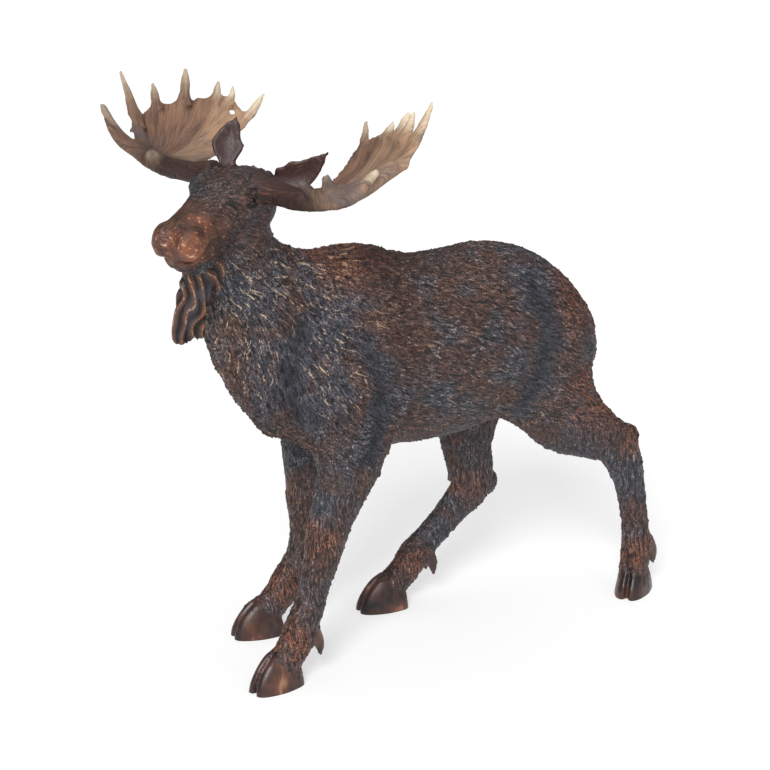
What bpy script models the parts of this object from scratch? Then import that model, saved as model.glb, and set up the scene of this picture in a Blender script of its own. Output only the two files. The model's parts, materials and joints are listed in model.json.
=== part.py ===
"""A cast resin statue of a bull moose walking with its head turned to its left.

It is one hollow casting that stands on its four hooves. The moose faces -Y, its left side is +X
and +Z is up. Every table below is in shares of the height at the withers, as
(forward, up) or (left, forward, up), so the figure keeps its pose at any size.
"""

import math

import bmesh
import bpy
import numpy as np
from mathutils import Matrix, Vector

# Driving sizes, in metres.
WITHERS_HEIGHT = 0.36
SOLE_DEPTH = 0.0048

# The step of the remesh follows the height, so that a taller statue keeps the same narrow gaps.
MESH_STEP = 11 / 1800 * WITHERS_HEIGHT

# Long locks of the coat, in shares: length, half width, lift at the tip, and how thick they grow.
LOCK_LENGTH = 0.110
LOCK_HALF_WIDTH = 0.019
LOCK_LIFT = 0.0075
LOCK_CHANCE = 0.035
LOCK_SEED = 4

# Limits of the finished faceted solid.
MOST_TRIANGLES = 9800
RING_SIDES = 28

# The head's own frame: the point midway between the eyes, in the figure's shares, and its turn.
HEAD_PLACE = (0.060, 0.465, 1.165)
HEAD_TURN = (30.0, 22.0, 4.0)

# Barrel and rump: forward, top, bottom, half width, how high the widest line lies.
TORSO = (
    (0.395, 0.850, 0.650, 0.045, 0.50),
    (0.345, 0.920, 0.580, 0.085, 0.48),
    (0.280, 0.955, 0.548, 0.112, 0.44),
    (0.180, 0.999, 0.522, 0.134, 0.42),
    (0.080, 0.996, 0.507, 0.147, 0.43),
    (-0.020, 0.965, 0.498, 0.154, 0.45),
    (-0.120, 0.958, 0.496, 0.158, 0.47),
    (-0.220, 0.967, 0.508, 0.156, 0.50),
    (-0.310, 0.957, 0.535, 0.148, 0.54),
    (-0.400, 0.922, 0.556, 0.140, 0.55),
    (-0.478, 0.862, 0.560, 0.120, 0.53),
    (-0.540, 0.785, 0.570, 0.084, 0.52),
    (-0.574, 0.712, 0.610, 0.038, 0.50),
)

# Neck from the shoulders to the skull: left, forward, up, half width, half depth.
NECK = (
    (0.000, 0.180, 0.740, 0.122, 0.215),
    (0.000, 0.280, 0.825, 0.114, 0.200),
    (0.005, 0.360, 0.908, 0.098, 0.152),
    (0.018, 0.412, 1.000, 0.082, 0.104),
    (0.036, 0.434, 1.085, 0.074, 0.086),
    (0.050, 0.448, 1.150, 0.066, 0.074),
)

# Skull and muzzle along the head's own forward axis: forward, top, bottom, half width.
HEAD = (
    (-0.145, -0.020, -0.060, 0.034),
    (-0.110, 0.008, -0.095, 0.062),
    (-0.055, 0.037, -0.115, 0.080),
    (0.000, 0.046, -0.108, 0.078),
    (0.045, 0.043, -0.092, 0.067),
    (0.090, 0.041, -0.080, 0.060),
    (0.135, 0.045, -0.074, 0.056),
    (0.170, 0.047, -0.068, 0.053),
    (0.197, 0.036, -0.060, 0.045),
    (0.216, 0.006, -0.040, 0.025),
)

# Legs from the body to the pastern: left, forward, up, half width, half depth.
LEGS = {
    "fore_left": (
        (0.066, 0.150, 0.680, 0.048, 0.105),
        (0.100, 0.165, 0.590, 0.056, 0.105),
        (0.122, 0.185, 0.520, 0.056, 0.088),
        (0.130, 0.214, 0.455, 0.050, 0.066),
        (0.134, 0.240, 0.400, 0.045, 0.054),
        (0.137, 0.258, 0.352, 0.045, 0.050),
        (0.139, 0.272, 0.300, 0.038, 0.042),
        (0.140, 0.290, 0.240, 0.031, 0.036),
        (0.141, 0.305, 0.190, 0.031, 0.035),
        (0.142, 0.323, 0.150, 0.035, 0.038),
        (0.142, 0.336, 0.120, 0.038, 0.041),
        (0.142, 0.352, 0.090, 0.036, 0.039),
        (0.142, 0.378, 0.055, 0.036, 0.036),
    ),
    "fore_right": (
        (-0.066, 0.130, 0.680, 0.048, 0.105),
        (-0.100, 0.146, 0.590, 0.056, 0.102),
        (-0.125, 0.156, 0.510, 0.056, 0.086),
        (-0.134, 0.160, 0.450, 0.051, 0.068),
        (-0.138, 0.160, 0.390, 0.046, 0.056),
        (-0.140, 0.164, 0.335, 0.045, 0.051),
        (-0.141, 0.166, 0.285, 0.038, 0.041),
        (-0.142, 0.172, 0.235, 0.031, 0.035),
        (-0.143, 0.184, 0.185, 0.031, 0.034),
        (-0.143, 0.203, 0.148, 0.035, 0.038),
        (-0.143, 0.220, 0.120, 0.038, 0.041),
        (-0.143, 0.243, 0.090, 0.036, 0.039),
        (-0.143, 0.280, 0.058, 0.036, 0.036),
    ),
    "hind_left": (
        (0.070, -0.370, 0.680, 0.070, 0.135),
        (0.088, -0.402, 0.590, 0.064, 0.128),
        (0.100, -0.452, 0.518, 0.056, 0.104),
        (0.108, -0.528, 0.462, 0.047, 0.072),
        (0.113, -0.588, 0.422, 0.042, 0.056),
        (0.116, -0.619, 0.368, 0.037, 0.048),
        (0.118, -0.640, 0.300, 0.031, 0.039),
        (0.120, -0.653, 0.230, 0.029, 0.035),
        (0.120, -0.662, 0.175, 0.031, 0.036),
        (0.121, -0.667, 0.130, 0.036, 0.040),
        (0.121, -0.664, 0.095, 0.035, 0.038),
        (0.121, -0.658, 0.055, 0.036, 0.036),
    ),
    "hind_right": (
        (-0.070, -0.330, 0.680, 0.070, 0.130),
        (-0.088, -0.305, 0.590, 0.064, 0.120),
        (-0.100, -0.290, 0.515, 0.056, 0.100),
        (-0.108, -0.286, 0.440, 0.048, 0.080),
        (-0.112, -0.292, 0.380, 0.042, 0.065),
        (-0.115, -0.304, 0.325, 0.040, 0.062),
        (-0.117, -0.300, 0.280, 0.038, 0.054),
        (-0.119, -0.256, 0.234, 0.032, 0.042),
        (-0.120, -0.208, 0.190, 0.030, 0.037),
        (-0.121, -0.168, 0.154, 0.032, 0.038),
        (-0.121, -0.138, 0.126, 0.036, 0.042),
        (-0.121, -0.110, 0.094, 0.035, 0.038),
        (-0.121, -0.070, 0.056, 0.036, 0.036),
    ),
}

# Hooves: left, forward of the sole's middle, and how far the toes turn out, in degrees.
HOOVES = {
    "fore_left": (0.143, 0.400, 12.0),
    "fore_right": (-0.143, 0.303, -6.0),
    "hind_left": (0.121, -0.660, 38.0),
    "hind_right": (-0.121, -0.042, -4.0),
}

# One toe of a hoof along its length: forward, top, half width.
TOE = (
    (-0.060, 0.030, 0.014),
    (-0.045, 0.062, 0.021),
    (-0.015, 0.088, 0.024),
    (0.015, 0.084, 0.024),
    (0.040, 0.062, 0.021),
    (0.058, 0.036, 0.015),
    (0.067, 0.014, 0.006),
)
TOE_SPREAD = 0.0225
DEWCLAW_TURN = 0.3

# Muscles that stand out: left, forward, up, then half sizes, and the tilt in the side view.
MUSCLES = (
    (0.086, 0.215, 0.700, 0.050, 0.095, 0.170, -16.0),
    (0.092, 0.120, 0.570, 0.042, 0.072, 0.080, 20.0),
    (0.080, -0.400, 0.700, 0.064, 0.125, 0.170, 8.0),
    (0.096, -0.330, 0.600, 0.042, 0.075, 0.100, -30.0),
)

# Antlers in the head's frame, as outward, forward, up. 1 is the left one and -1 the right one.
BEAM = {
    1: (
        (0.050, -0.050, 0.014, 0.036),
        (0.110, -0.050, 0.000, 0.028),
        (0.176, -0.046, -0.002, 0.025),
        (0.240, -0.060, 0.006, 0.026),
        (0.300, -0.092, 0.022, 0.022),
        (0.366, -0.150, 0.062, 0.019),
    ),
    -1: (
        (0.050, -0.050, 0.016, 0.036),
        (0.110, -0.048, 0.014, 0.025),
        (0.176, -0.046, 0.018, 0.023),
        (0.237, -0.055, 0.036, 0.023),
        (0.264, -0.090, 0.036, 0.017),
        (0.306, -0.135, 0.044, 0.012),
    ),
}

# The palm's four edges: along the beam, along the leading tine, the inner edge and the rim.
PALM_ROOT = {
    1: ((0.270, -0.074, 0.006), (0.225, -0.076, -0.004), (0.195, -0.085, 0.000)),
    -1: ((0.248, -0.078, 0.026), (0.205, -0.078, 0.012), (0.150, -0.085, 0.004)),
}
PALM_FRONT = {
    1: ((0.270, -0.074, 0.006), (0.332, -0.118, 0.034), (0.391, -0.196, 0.082)),
    -1: ((0.248, -0.078, 0.026), (0.292, -0.122, 0.036), (0.338, -0.188, 0.052)),
}
PALM_INNER = {
    1: ((0.195, -0.085, 0.000), (0.176, -0.190, -0.026), (0.156, -0.276, -0.048), (0.144, -0.355, -0.036)),
    -1: ((0.150, -0.085, 0.004), (0.152, -0.190, -0.032), (0.154, -0.276, -0.046), (0.146, -0.345, -0.034)),
}
PALM_RIM = {
    1: (
        (0.391, -0.196, 0.082),
        (0.358, -0.252, 0.080),
        (0.318, -0.292, 0.062),
        (0.268, -0.320, 0.028),
        (0.232, -0.345, 0.006),
        (0.186, -0.362, -0.030),
        (0.144, -0.355, -0.036),
    ),
    -1: (
        (0.338, -0.188, 0.052),
        (0.332, -0.208, 0.044),
        (0.308, -0.275, 0.032),
        (0.264, -0.330, 0.020),
        (0.205, -0.355, 0.020),
        (0.178, -0.365, -0.012),
        (0.146, -0.345, -0.034),
    ),
}
PALM_SAG = 0.020
PALM_THICK = 0.015

# Tines: root on the palm, tip, half width at the root.
TINES = {
    1: (
        ((0.370, -0.165, 0.064), (0.410, -0.258, 0.163), 0.025),
        ((0.330, -0.240, 0.064), (0.330, -0.305, 0.094), 0.018),
        ((0.284, -0.282, 0.036), (0.297, -0.338, 0.066), 0.026),
        ((0.232, -0.318, 0.004), (0.231, -0.374, 0.010), 0.020),
        ((0.166, -0.326, -0.042), (0.136, -0.408, -0.028), 0.018),
    ),
    -1: (
        ((0.316, -0.148, 0.044), (0.407, -0.242, 0.113), 0.020),
        ((0.322, -0.232, 0.040), (0.360, -0.291, 0.066), 0.020),
        ((0.282, -0.285, 0.026), (0.290, -0.336, 0.090), 0.027),
        ((0.228, -0.325, 0.018), (0.229, -0.371, 0.043), 0.020),
        ((0.194, -0.345, 0.004), (0.203, -0.386, 0.027), 0.015),
        ((0.158, -0.325, -0.036), (0.135, -0.408, 0.001), 0.022),
    ),
}
BROW_TINES = {
    1: (
        ((0.245, -0.060, 0.000), (0.305, -0.060, 0.030), (0.350, -0.090, 0.080), 0.022),
        ((0.250, -0.055, 0.000), (0.244, -0.055, 0.030), (0.228, -0.070, 0.058), 0.022),
        ((0.216, -0.046, -0.006), (0.208, -0.036, 0.030), (0.188, -0.028, 0.061), 0.016),
    ),
    -1: (
        ((0.237, -0.055, 0.030), (0.305, -0.062, 0.066), (0.350, -0.086, 0.130), 0.019),
        ((0.210, -0.050, 0.024), (0.206, -0.040, 0.045), (0.200, -0.034, 0.060), 0.017),
    ),
}

# Dents in the head's frame, mirrored: outward, forward, up, radius, depth.
DENTS = (
    (0.041, 0.196, 0.006, 0.013, 0.010),
    (0.034, 0.206, -0.002, 0.010, 0.008),
    (0.078, 0.018, 0.004, 0.012, 0.005),
    (0.074, -0.018, -0.004, 0.012, 0.005),
)

# The mouth's line on each side: outward, forward, up. Then its half width and depth.
MOUTH = ((0.010, 0.222, -0.036), (0.042, 0.190, -0.034), (0.054, 0.150, -0.030), (0.058, 0.105, -0.032))
MOUTH_HALF_WIDTH = 0.008
MOUTH_DEPTH = 0.007

# Ears in the head's frame: base, middle, tip, and the way the hollow faces.
EARS = {
    1: ((0.066, -0.112, -0.006), (0.120, -0.142, -0.006), (0.176, -0.178, 0.040), (0.30, 0.70, 0.35)),
    -1: ((-0.052, -0.105, 0.010), (-0.066, -0.148, 0.046), (-0.052, -0.184, 0.092), (0.5, 0.6, 0.65)),
}
EAR_HALF_WIDTHS = (0.020, 0.031, 0.038, 0.030, 0.016, 0.003)

# Locks of the dewlap: left, forward, up, half thickness from the throat to the tip.
BELL = (
    ((0.092, 0.535, 1.050, 0.027), (0.092, 0.562, 0.995, 0.021), (0.090, 0.581, 0.940, 0.017),
     (0.084, 0.592, 0.880, 0.014), (0.082, 0.588, 0.852, 0.008)),
    ((0.070, 0.525, 1.040, 0.034), (0.084, 0.552, 0.985, 0.026), (0.080, 0.568, 0.925, 0.018),
     (0.074, 0.568, 0.872, 0.013), (0.072, 0.566, 0.850, 0.007)),
    ((0.062, 0.510, 1.030, 0.036), (0.072, 0.535, 0.970, 0.028), (0.070, 0.545, 0.910, 0.020),
     (0.062, 0.535, 0.870, 0.013), (0.060, 0.530, 0.852, 0.008)),
)


def clear_scene():
    for obj in list(bpy.data.objects):
        bpy.data.objects.remove(obj, do_unlink=True)


def at(left, forward, up):
    """A point of the figure, from shares of its height to the part's own axes, still in shares."""
    return Vector((left, -forward, up))


def head_frame():
    yaw, pitch, roll = (math.radians(angle) for angle in HEAD_TURN)
    turn = Matrix.Rotation(yaw, 4, "Z") @ Matrix.Rotation(pitch, 4, "X") @ Matrix.Rotation(roll, 4, "Y")
    return Matrix.Translation(at(*HEAD_PLACE)) @ turn


def curve(rows, steps):
    """Rows of numbers joined by a smooth curve, with so many steps from each row to the next."""
    rows = [np.array(row, float) for row in rows]
    rows = [2 * rows[0] - rows[1]] + rows + [2 * rows[-1] - rows[-2]]
    out = []
    for a, b, c, d in zip(rows, rows[1:], rows[2:], rows[3:]):
        for step in range(steps):
            t = step / steps
            out.append(
                0.5 * (2 * b + (c - a) * t + (2 * a - 5 * b + 4 * c - d) * t**2 + (3 * b - a - 3 * c + d) * t**3)
            )
    return out + [rows[-2]]


def loft(bm, rings):
    """A closed skin over rings of points, each ring a list of as many points."""
    last = len(rings) - 1
    before = None
    for index, points in enumerate(rings):
        made = bmesh.ops.create_circle(bm, cap_ends=index in (0, last), segments=len(points), radius=1.0)
        for vertex, point in zip(made["verts"], points):
            vertex.co = point
        edges = list({edge for vertex in made["verts"] for edge in vertex.link_edges})
        if before:
            bmesh.ops.bridge_loops(bm, edges=before + edges)
        before = edges


def angles(sides):
    return [2 * math.pi * k / sides for k in range(sides)]


def torso(bm):
    rings = []
    for forward, top, bottom, wide, share in curve(TORSO, 4):
        middle = bottom + (top - bottom) * share
        ring = []
        for a in angles(RING_SIDES + 12):
            across, high = math.cos(a), math.sin(a)
            reach = (top - middle) if high > 0 else (middle - bottom)
            pinch = 1 - 0.16 * max(high, 0) ** 3
            across = math.copysign(abs(across) ** 0.88, across) * pinch
            ring.append(at(wide * across, forward, middle + reach * high))
        rings.append(ring)
    loft(bm, rings)


def tube(bm, rows, side, sides=RING_SIDES, square=1.0, steps=4):
    """A limb along rows of left, forward, up, half width and half depth. side is the width's way."""
    rows = curve(rows, steps)
    spots = [at(*row[:3]) for row in rows]
    rings = []
    for index, (spot, row) in enumerate(zip(spots, rows)):
        along = spots[min(index + 1, len(spots) - 1)] - spots[max(index - 1, 0)]
        deep = along.cross(side).normalized()
        wide = deep.cross(along).normalized()
        ring = []
        for a in angles(sides):
            c = math.copysign(abs(math.cos(a)) ** square, math.cos(a))
            s = math.copysign(abs(math.sin(a)) ** square, math.sin(a))
            ring.append(spot + wide * (row[3] * c) + deep * (row[4] * s))
        rings.append(ring)
    loft(bm, rings)


def lump(bm, place, sizes, turn=None):
    """An egg shape with three half sizes."""
    matrix = Matrix.Translation(place) @ (turn or Matrix()) @ Matrix.Diagonal((*sizes, 1))
    bmesh.ops.create_uvsphere(bm, u_segments=24, v_segments=16, radius=1.0, matrix=matrix)


def muscles(bm):
    for left, forward, up, half_width, half_depth, half_height, tilt in MUSCLES:
        for side in (1, -1):
            turn = Matrix.Rotation(math.radians(tilt), 4, "X")
            lump(bm, at(side * left, forward, up), (half_width, half_depth, half_height), turn)
    lump(bm, at(0, -0.556, 0.735), (0.022, 0.022, 0.050))


def hocks(bm):
    lump(bm, at(0.114, -0.632, 0.436), (0.024, 0.030, 0.034))
    lump(bm, at(-0.116, -0.350, 0.288), (0.024, 0.032, 0.034))
    lump(bm, at(0.137, 0.276, 0.356), (0.032, 0.032, 0.044))
    lump(bm, at(-0.140, 0.172, 0.338), (0.032, 0.030, 0.042))


def hoof(bm, left, forward, turn_out):
    place = Matrix.Translation(at(left, forward, 0)) @ Matrix.Rotation(math.radians(turn_out), 4, "Z")
    for side in (1, -1):
        rings = []
        for along, top, half in curve(TOE, 3):
            ring = []
            for a in angles(20):
                c, s = math.cos(a), math.sin(a)
                lean = 0.010 * side * (top / 0.088)
                spread = side * (TOE_SPREAD - 0.010 * max(along, 0) / 0.067)
                high = top * max(s, 0) ** 0.8 if s > 0 else -SOLE_DEPTH / WITHERS_HEIGHT
                wide = half * math.copysign(abs(c) ** 0.7, c) * (1.0 if s <= 0 else 1 - 0.25 * s)
                ring.append(place @ at(spread - lean * max(s, 0) + wide, along, high))
            rings.append(ring)
        loft(bm, rings)


def dewclaws(bm, leg):
    """Two small claws behind each fetlock."""
    rows = LEGS[leg]
    ankle, above = rows[-3], rows[-4]
    turn_out = math.radians(HOOVES[leg][2]) * DEWCLAW_TURN
    back = Matrix.Rotation(turn_out, 3, "Z") @ Vector((0, 1, 0))
    base = at(*ankle[:3])
    for side in (1, -1):
        across = Matrix.Rotation(turn_out, 3, "Z") @ Vector((side, 0, 0))
        start = base + back * 0.020 + across * 0.016 + Vector((0, 0, 0.012))
        end = base + back * 0.046 + across * 0.020 + Vector((0, 0, -0.062))
        middle = (start + end) / 2 + back * 0.010
        rows = []
        for spot, half in ((start, 0.020), (middle, 0.014), (end, 0.004)):
            rows.append((spot.x, -spot.y, spot.z, half, half))
        tube(bm, rows, across, sides=12)


def legs(bm):
    for name, rows in LEGS.items():
        tube(bm, rows, Vector((1, 0, 0)))
        dewclaws(bm, name)
    for left, forward, turn_out in HOOVES.values():
        hoof(bm, left, forward, turn_out)


def head(bm, frame):
    rings = []
    for forward, top, bottom, wide in curve(HEAD, 4):
        middle = (top + bottom) / 2 + 0.012
        ring = []
        for a in angles(RING_SIDES + 8):
            c, s = math.cos(a), math.sin(a)
            reach = (top - middle) if s > 0 else (middle - bottom)
            narrow = 1 - 0.30 * max(-s, 0) ** 2
            across = wide * math.copysign(abs(c) ** 0.85, c) * narrow
            ring.append(frame @ at(across, forward, middle + reach * math.copysign(abs(s) ** 0.9, s)))
        rings.append(ring)
    loft(bm, rings)
    turn = frame.to_3x3().to_4x4()
    for side in (1, -1):
        lump(bm, frame @ at(side * 0.058, -0.004, 0.022), (0.022, 0.036, 0.018), turn)
        lump(bm, frame @ at(side * 0.071, 0.002, 0.000), (0.010, 0.012, 0.010), turn)
        lump(bm, frame @ at(side * 0.046, -0.045, -0.060), (0.036, 0.070, 0.045), turn)
        lump(bm, frame @ at(side * 0.030, 0.182, 0.006), (0.030, 0.040, 0.040), turn)
    lump(bm, frame @ at(0, 0.120, -0.076), (0.034, 0.055, 0.020), turn)


def ear(bm, frame, side):
    base, middle, tip, facing = EARS[side]
    facing = at(*facing)
    steps = len(EAR_HALF_WIDTHS)
    rings = []
    spots = curve([base, middle, tip], steps)
    halves = curve([(half,) for half in EAR_HALF_WIDTHS], 3)
    for index, spot in enumerate(spots):
        half = halves[round(index * (len(halves) - 1) / (len(spots) - 1))][0]
        along = at(*(spots[min(index + 1, len(spots) - 1)] - spots[max(index - 1, 0)])).normalized()
        wide = along.cross(facing).normalized()
        thick = wide.cross(along).normalized()
        thick = thick if thick.dot(facing) > 0 else -thick
        ring = []
        for a in angles(24):
            c, s = math.cos(a), math.sin(a)
            cup = 0.55 * half * (c * c - 0.5)
            ring.append(frame @ (at(*spot) + wide * (half * c) + thick * (cup + 0.32 * half * s + 0.002 * s)))
        rings.append(ring)
    loft(bm, rings)


def mix(a, b, t):
    return a + (b - a) * t


def palm(bm, frame, side):
    """The broad blade: a sheet patched between its four edges, hollowed like a dish."""
    count = 12
    edges = [curve(rows, 12) for rows in (PALM_ROOT[side], PALM_RIM[side], PALM_FRONT[side], PALM_INNER[side])]

    def on(edge, t):
        place = t * (len(edge) - 1)
        low = min(int(place), len(edge) - 2)
        return mix(edge[low], edge[low + 1], place - low)

    root, rim, front, inner = edges
    made = bmesh.ops.create_grid(bm, x_segments=count, y_segments=count, size=0.5)
    for vertex in made["verts"]:
        u, v = vertex.co.x + 0.5, vertex.co.y + 0.5
        across = mix(on(root, u), on(rim, u), v) + mix(on(front, v), on(inner, v), u)
        corners = mix(mix(root[0], root[-1], u), mix(rim[0], rim[-1], u), v)
        out, forward, up = across - corners
        up -= PALM_SAG * 16 * u * (1 - u) * v * (1 - v)
        vertex.co = frame @ at(side * out, forward, up)
    faces = list({face for vertex in made["verts"] for face in vertex.link_faces})
    bmesh.ops.solidify(bm, geom=faces, thickness=PALM_THICK)


def antler(bm, frame, side):
    turn = frame.to_3x3()

    def spike(points, halves):
        """A tine or beam through points, with its half width across the palm and its half thickness."""
        spots = [frame @ at(side * point[0], point[1], point[2]) for point in points]
        across = (spots[-1] - spots[0]).cross(turn @ Vector((0, 0, 1)))
        rows = [(spot.x, -spot.y, spot.z, wide, thick) for spot, (wide, thick) in zip(spots, halves)]
        tube(bm, rows, across, sides=16)

    spike([row[:3] for row in BEAM[side]], [(row[3], row[3]) for row in BEAM[side]])
    palm(bm, frame, side)
    for root, tip, half in TINES[side]:
        root, tip = np.array(root), np.array(tip)
        bend = np.array((0, -0.004, -0.008))
        points = [root, mix(root, tip, 0.35) + bend, mix(root, tip, 0.7) + bend * 0.7, tip]
        spike(points, ((half, 0.0065), (half * 0.62, 0.0090), (half * 0.40, 0.0085), (0.0045, 0.0045)))
    for *points, half in BROW_TINES[side]:
        spike(points, ((half, half), (half * 0.85, half * 0.8), (0.007, 0.007)))


def bell(bm):
    for rows in BELL:
        tube(bm, [(*row, row[3] * 1.25) for row in rows], Vector((1, 0, 0)), sides=16)


def build_mesh():
    """All the forms as closed skins in one mesh, in metres."""
    bm = bmesh.new()
    frame = head_frame()
    torso(bm)
    tube(bm, NECK, Vector((1, 0, 0)))
    muscles(bm)
    hocks(bm)
    legs(bm)
    head(bm, frame)
    for side in (1, -1):
        ear(bm, frame, side)
        antler(bm, frame, side)
    bell(bm)
    bmesh.ops.recalc_face_normals(bm, faces=bm.faces[:])
    bmesh.ops.scale(bm, vec=(WITHERS_HEIGHT,) * 3, verts=bm.verts[:])
    mesh = bpy.data.meshes.new("moose")
    bm.to_mesh(mesh)
    bm.free()
    return mesh


def apply(obj, kind, **settings):
    modifier = obj.modifiers.new(kind.lower(), kind)
    for name, value in settings.items():
        setattr(modifier, name, value)
    graph = bpy.context.evaluated_depsgraph_get()
    mesh = bpy.data.meshes.new_from_object(obj.evaluated_get(graph))
    obj.modifiers.clear()
    obj.data = mesh


def points_of(mesh):
    flat = np.empty(len(mesh.vertices) * 3, np.float32)
    mesh.vertices.foreach_get("co", flat)
    return flat.reshape(-1, 3).astype(float)


def normals_of(mesh):
    flat = np.empty(len(mesh.vertices) * 3, np.float32)
    mesh.vertices.foreach_get("normal", flat)
    return flat.reshape(-1, 3).astype(float)


def set_points(mesh, points):
    mesh.vertices.foreach_set("co", points.astype(np.float32).ravel())
    mesh.update()


def smooth(mesh, rounds, share, back=0.0):
    """Evens the skin where forms meet. share is each point's part, and back undoes the shrinking."""
    points = points_of(mesh)
    ends = np.empty(len(mesh.edges) * 2, np.int32)
    mesh.edges.foreach_get("vertices", ends)
    a, b = ends.reshape(-1, 2).T
    count = np.bincount(ends, minlength=len(points))[:, None]
    share = share[:, None]
    for step in range(rounds):
        total = np.stack([np.bincount(a, points[b, k], len(points)) + np.bincount(b, points[a, k], len(points))
                          for k in range(3)], axis=1)
        points += (-back * share if back and step % 2 else share) * (total / count - points)
    set_points(mesh, points)


def ramp(low, high, value):
    t = np.clip((value - low) / (high - low), 0, 1)
    return t * t * (3 - 2 * t)


def body_share(mesh):
    """1 on the barrel, neck and thighs, where muscles blend, and 0 on head, antlers, bell and shins."""
    left, back, up = (points_of(mesh) / WITHERS_HEIGHT).T
    forward = -back
    bell_keep = ramp(0.49, 0.52, forward) * ramp(0.80, 0.84, up)
    return 0.5 * ramp(0.40, 0.56, up) * (1 - ramp(0.99, 1.07, up)) * (1 - bell_keep)


def press(points, normals, spot, radius, depth):
    """Pushes the skin in around one spot."""
    near = np.linalg.norm(points - np.array(spot), axis=1)
    return points - normals * (depth * np.clip(1 - (near / radius) ** 2, 0, 1) ** 1.5)[:, None]


def face(mesh):
    """Nostrils, the hollows before and behind each eye, and the line of the mouth."""
    points = points_of(mesh) / WITHERS_HEIGHT
    normals = normals_of(mesh)
    frame = head_frame()
    for side in (1, -1):
        for out, forward, up, radius, depth in DENTS:
            points = press(points, normals, frame @ at(side * out, forward, up), radius, depth)
        line = [frame @ at(side * out, forward, up) for out, forward, up in curve(MOUTH, 6)]
        gap = np.min([np.linalg.norm(points - np.array(spot), axis=1) for spot in line], axis=0)
        points -= normals * (MOUTH_DEPTH * np.clip(1 - (gap / MOUTH_HALF_WIDTH) ** 2, 0, 1))[:, None]
    set_points(mesh, points * WITHERS_HEIGHT)


def flow(place):
    """The way the coat lies, from left, forward and up of a point of the body, in the same shares."""
    left, forward, up = place
    neck = ramp(0.22, 0.38, forward) * ramp(0.55, 0.75, up)
    leg = 1 - ramp(0.44, 0.58, up)
    haunch = (1 - ramp(-0.44, -0.26, forward)) * (1 - leg)
    lie = np.array((0.0, -1.0, -0.42))
    lie = mix(lie, np.array((0.0, -0.45, -1.0)), neck)
    lie = mix(lie, np.array((0.0, -0.55, -0.9)), haunch)
    return mix(lie, np.array((0.0, 0.0, -1.0)), leg)


def locks(mesh):
    """Raises the long locks of the mane, chest and thighs, each a leaf that lifts towards its tip."""
    points = points_of(mesh) / WITHERS_HEIGHT
    normals = normals_of(mesh)
    lift = np.zeros(len(points))
    rng = np.random.default_rng(LOCK_SEED)
    for seed in rng.permutation(len(points)):
        left, forward, up = points[seed] * (1, -1, 1)
        mane = ramp(0.06, 0.20, forward) * ramp(0.52, 0.66, up) * (1 - ramp(1.04, 1.10, up))
        thigh = 0.5 * (1 - ramp(-0.46, -0.34, forward)) * ramp(0.50, 0.60, up) * (1 - ramp(0.78, 0.90, up))
        if forward > 0.50 or rng.random() > LOCK_CHANCE * max(mane, thigh):
            continue
        normal = normals[seed]
        lie = flow((left, forward, up)) * (1, -1, 1)
        lie = lie - normal * (lie @ normal)
        lie /= np.linalg.norm(lie)
        across = np.cross(normal, lie)
        near = points - points[seed]
        along, aside = near @ lie / LOCK_LENGTH, near @ across / LOCK_HALF_WIDTH
        inside = (along > 0) & (along < 1) & (abs(near @ normal) < LOCK_HALF_WIDTH * 2) & (abs(aside) < 1)
        along, aside = along[inside], aside[inside] / (1.05 - 0.55 * along[inside])
        leaf = np.clip(1 - aside**2, 0, 1) * along * (1 - ramp(0.82, 1.0, along))
        lift[inside] = np.maximum(lift[inside], LOCK_LIFT * leaf)
    set_points(mesh, (points + normals * lift[:, None]) * WITHERS_HEIGHT)


def flat_soles(obj):
    """Cuts the hooves off level, so the statue stands on four flat soles."""
    bm = bmesh.new()
    bm.from_mesh(obj.data)
    cut = bmesh.ops.bisect_plane(
        bm, geom=bm.verts[:] + bm.edges[:] + bm.faces[:], plane_co=(0, 0, 0), plane_no=(0, 0, 1),
        clear_inner=True,
    )
    rim = [item for item in cut["geom_cut"] if isinstance(item, bmesh.types.BMEdge)]
    bmesh.ops.edgeloop_fill(bm, edges=rim)
    bmesh.ops.triangulate(bm, faces=bm.faces[:])
    bm.to_mesh(obj.data)
    bm.free()


def centre(mesh):
    """Moves the figure so that the middle of its box stands over the origin."""
    points = points_of(mesh)
    middle = (points.min(axis=0) + points.max(axis=0)) / 2
    set_points(mesh, points - middle * (1, 1, 0))


def resin():
    material = bpy.data.materials.new("painted resin")
    material.use_nodes = True
    shader = material.node_tree.nodes["Principled BSDF"]
    shader.inputs["Base Color"].default_value = (0.075, 0.045, 0.038, 1)
    shader.inputs["Roughness"].default_value = 0.45
    shader.inputs["Metallic"].default_value = 0.15
    return material


def main():
    clear_scene()
    moose = bpy.data.objects.new("moose", build_mesh())
    bpy.context.scene.collection.objects.link(moose)
    apply(moose, "REMESH", mode="VOXEL", voxel_size=MESH_STEP, adaptivity=0.0)
    smooth(moose.data, 90, body_share(moose.data))
    smooth(moose.data, 20, np.full(len(moose.data.vertices), 0.4), 1.0)
    face(moose.data)
    locks(moose.data)
    share = MOST_TRIANGLES / (2 * len(moose.data.polygons))
    apply(moose, "DECIMATE", decimate_type="COLLAPSE", ratio=share)
    flat_soles(moose)
    centre(moose.data)
    moose.data.materials.append(resin())


main()
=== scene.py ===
"""The fine carving, the paint and a small studio for a cast resin statue of a bull moose.

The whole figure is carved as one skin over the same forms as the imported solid, and is then parted
where nothing shows into pieces small enough to keep their fur. The moose faces -Y, its left side is
+X and +Z is up. Every table of the figure is in shares of its height at the withers, as
(forward, up) or (left, forward, up).
"""

import json
import math

import bmesh
import bpy
import numpy as np
from mathutils import Matrix, Vector, noise
from mathutils.kdtree import KDTree

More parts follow.
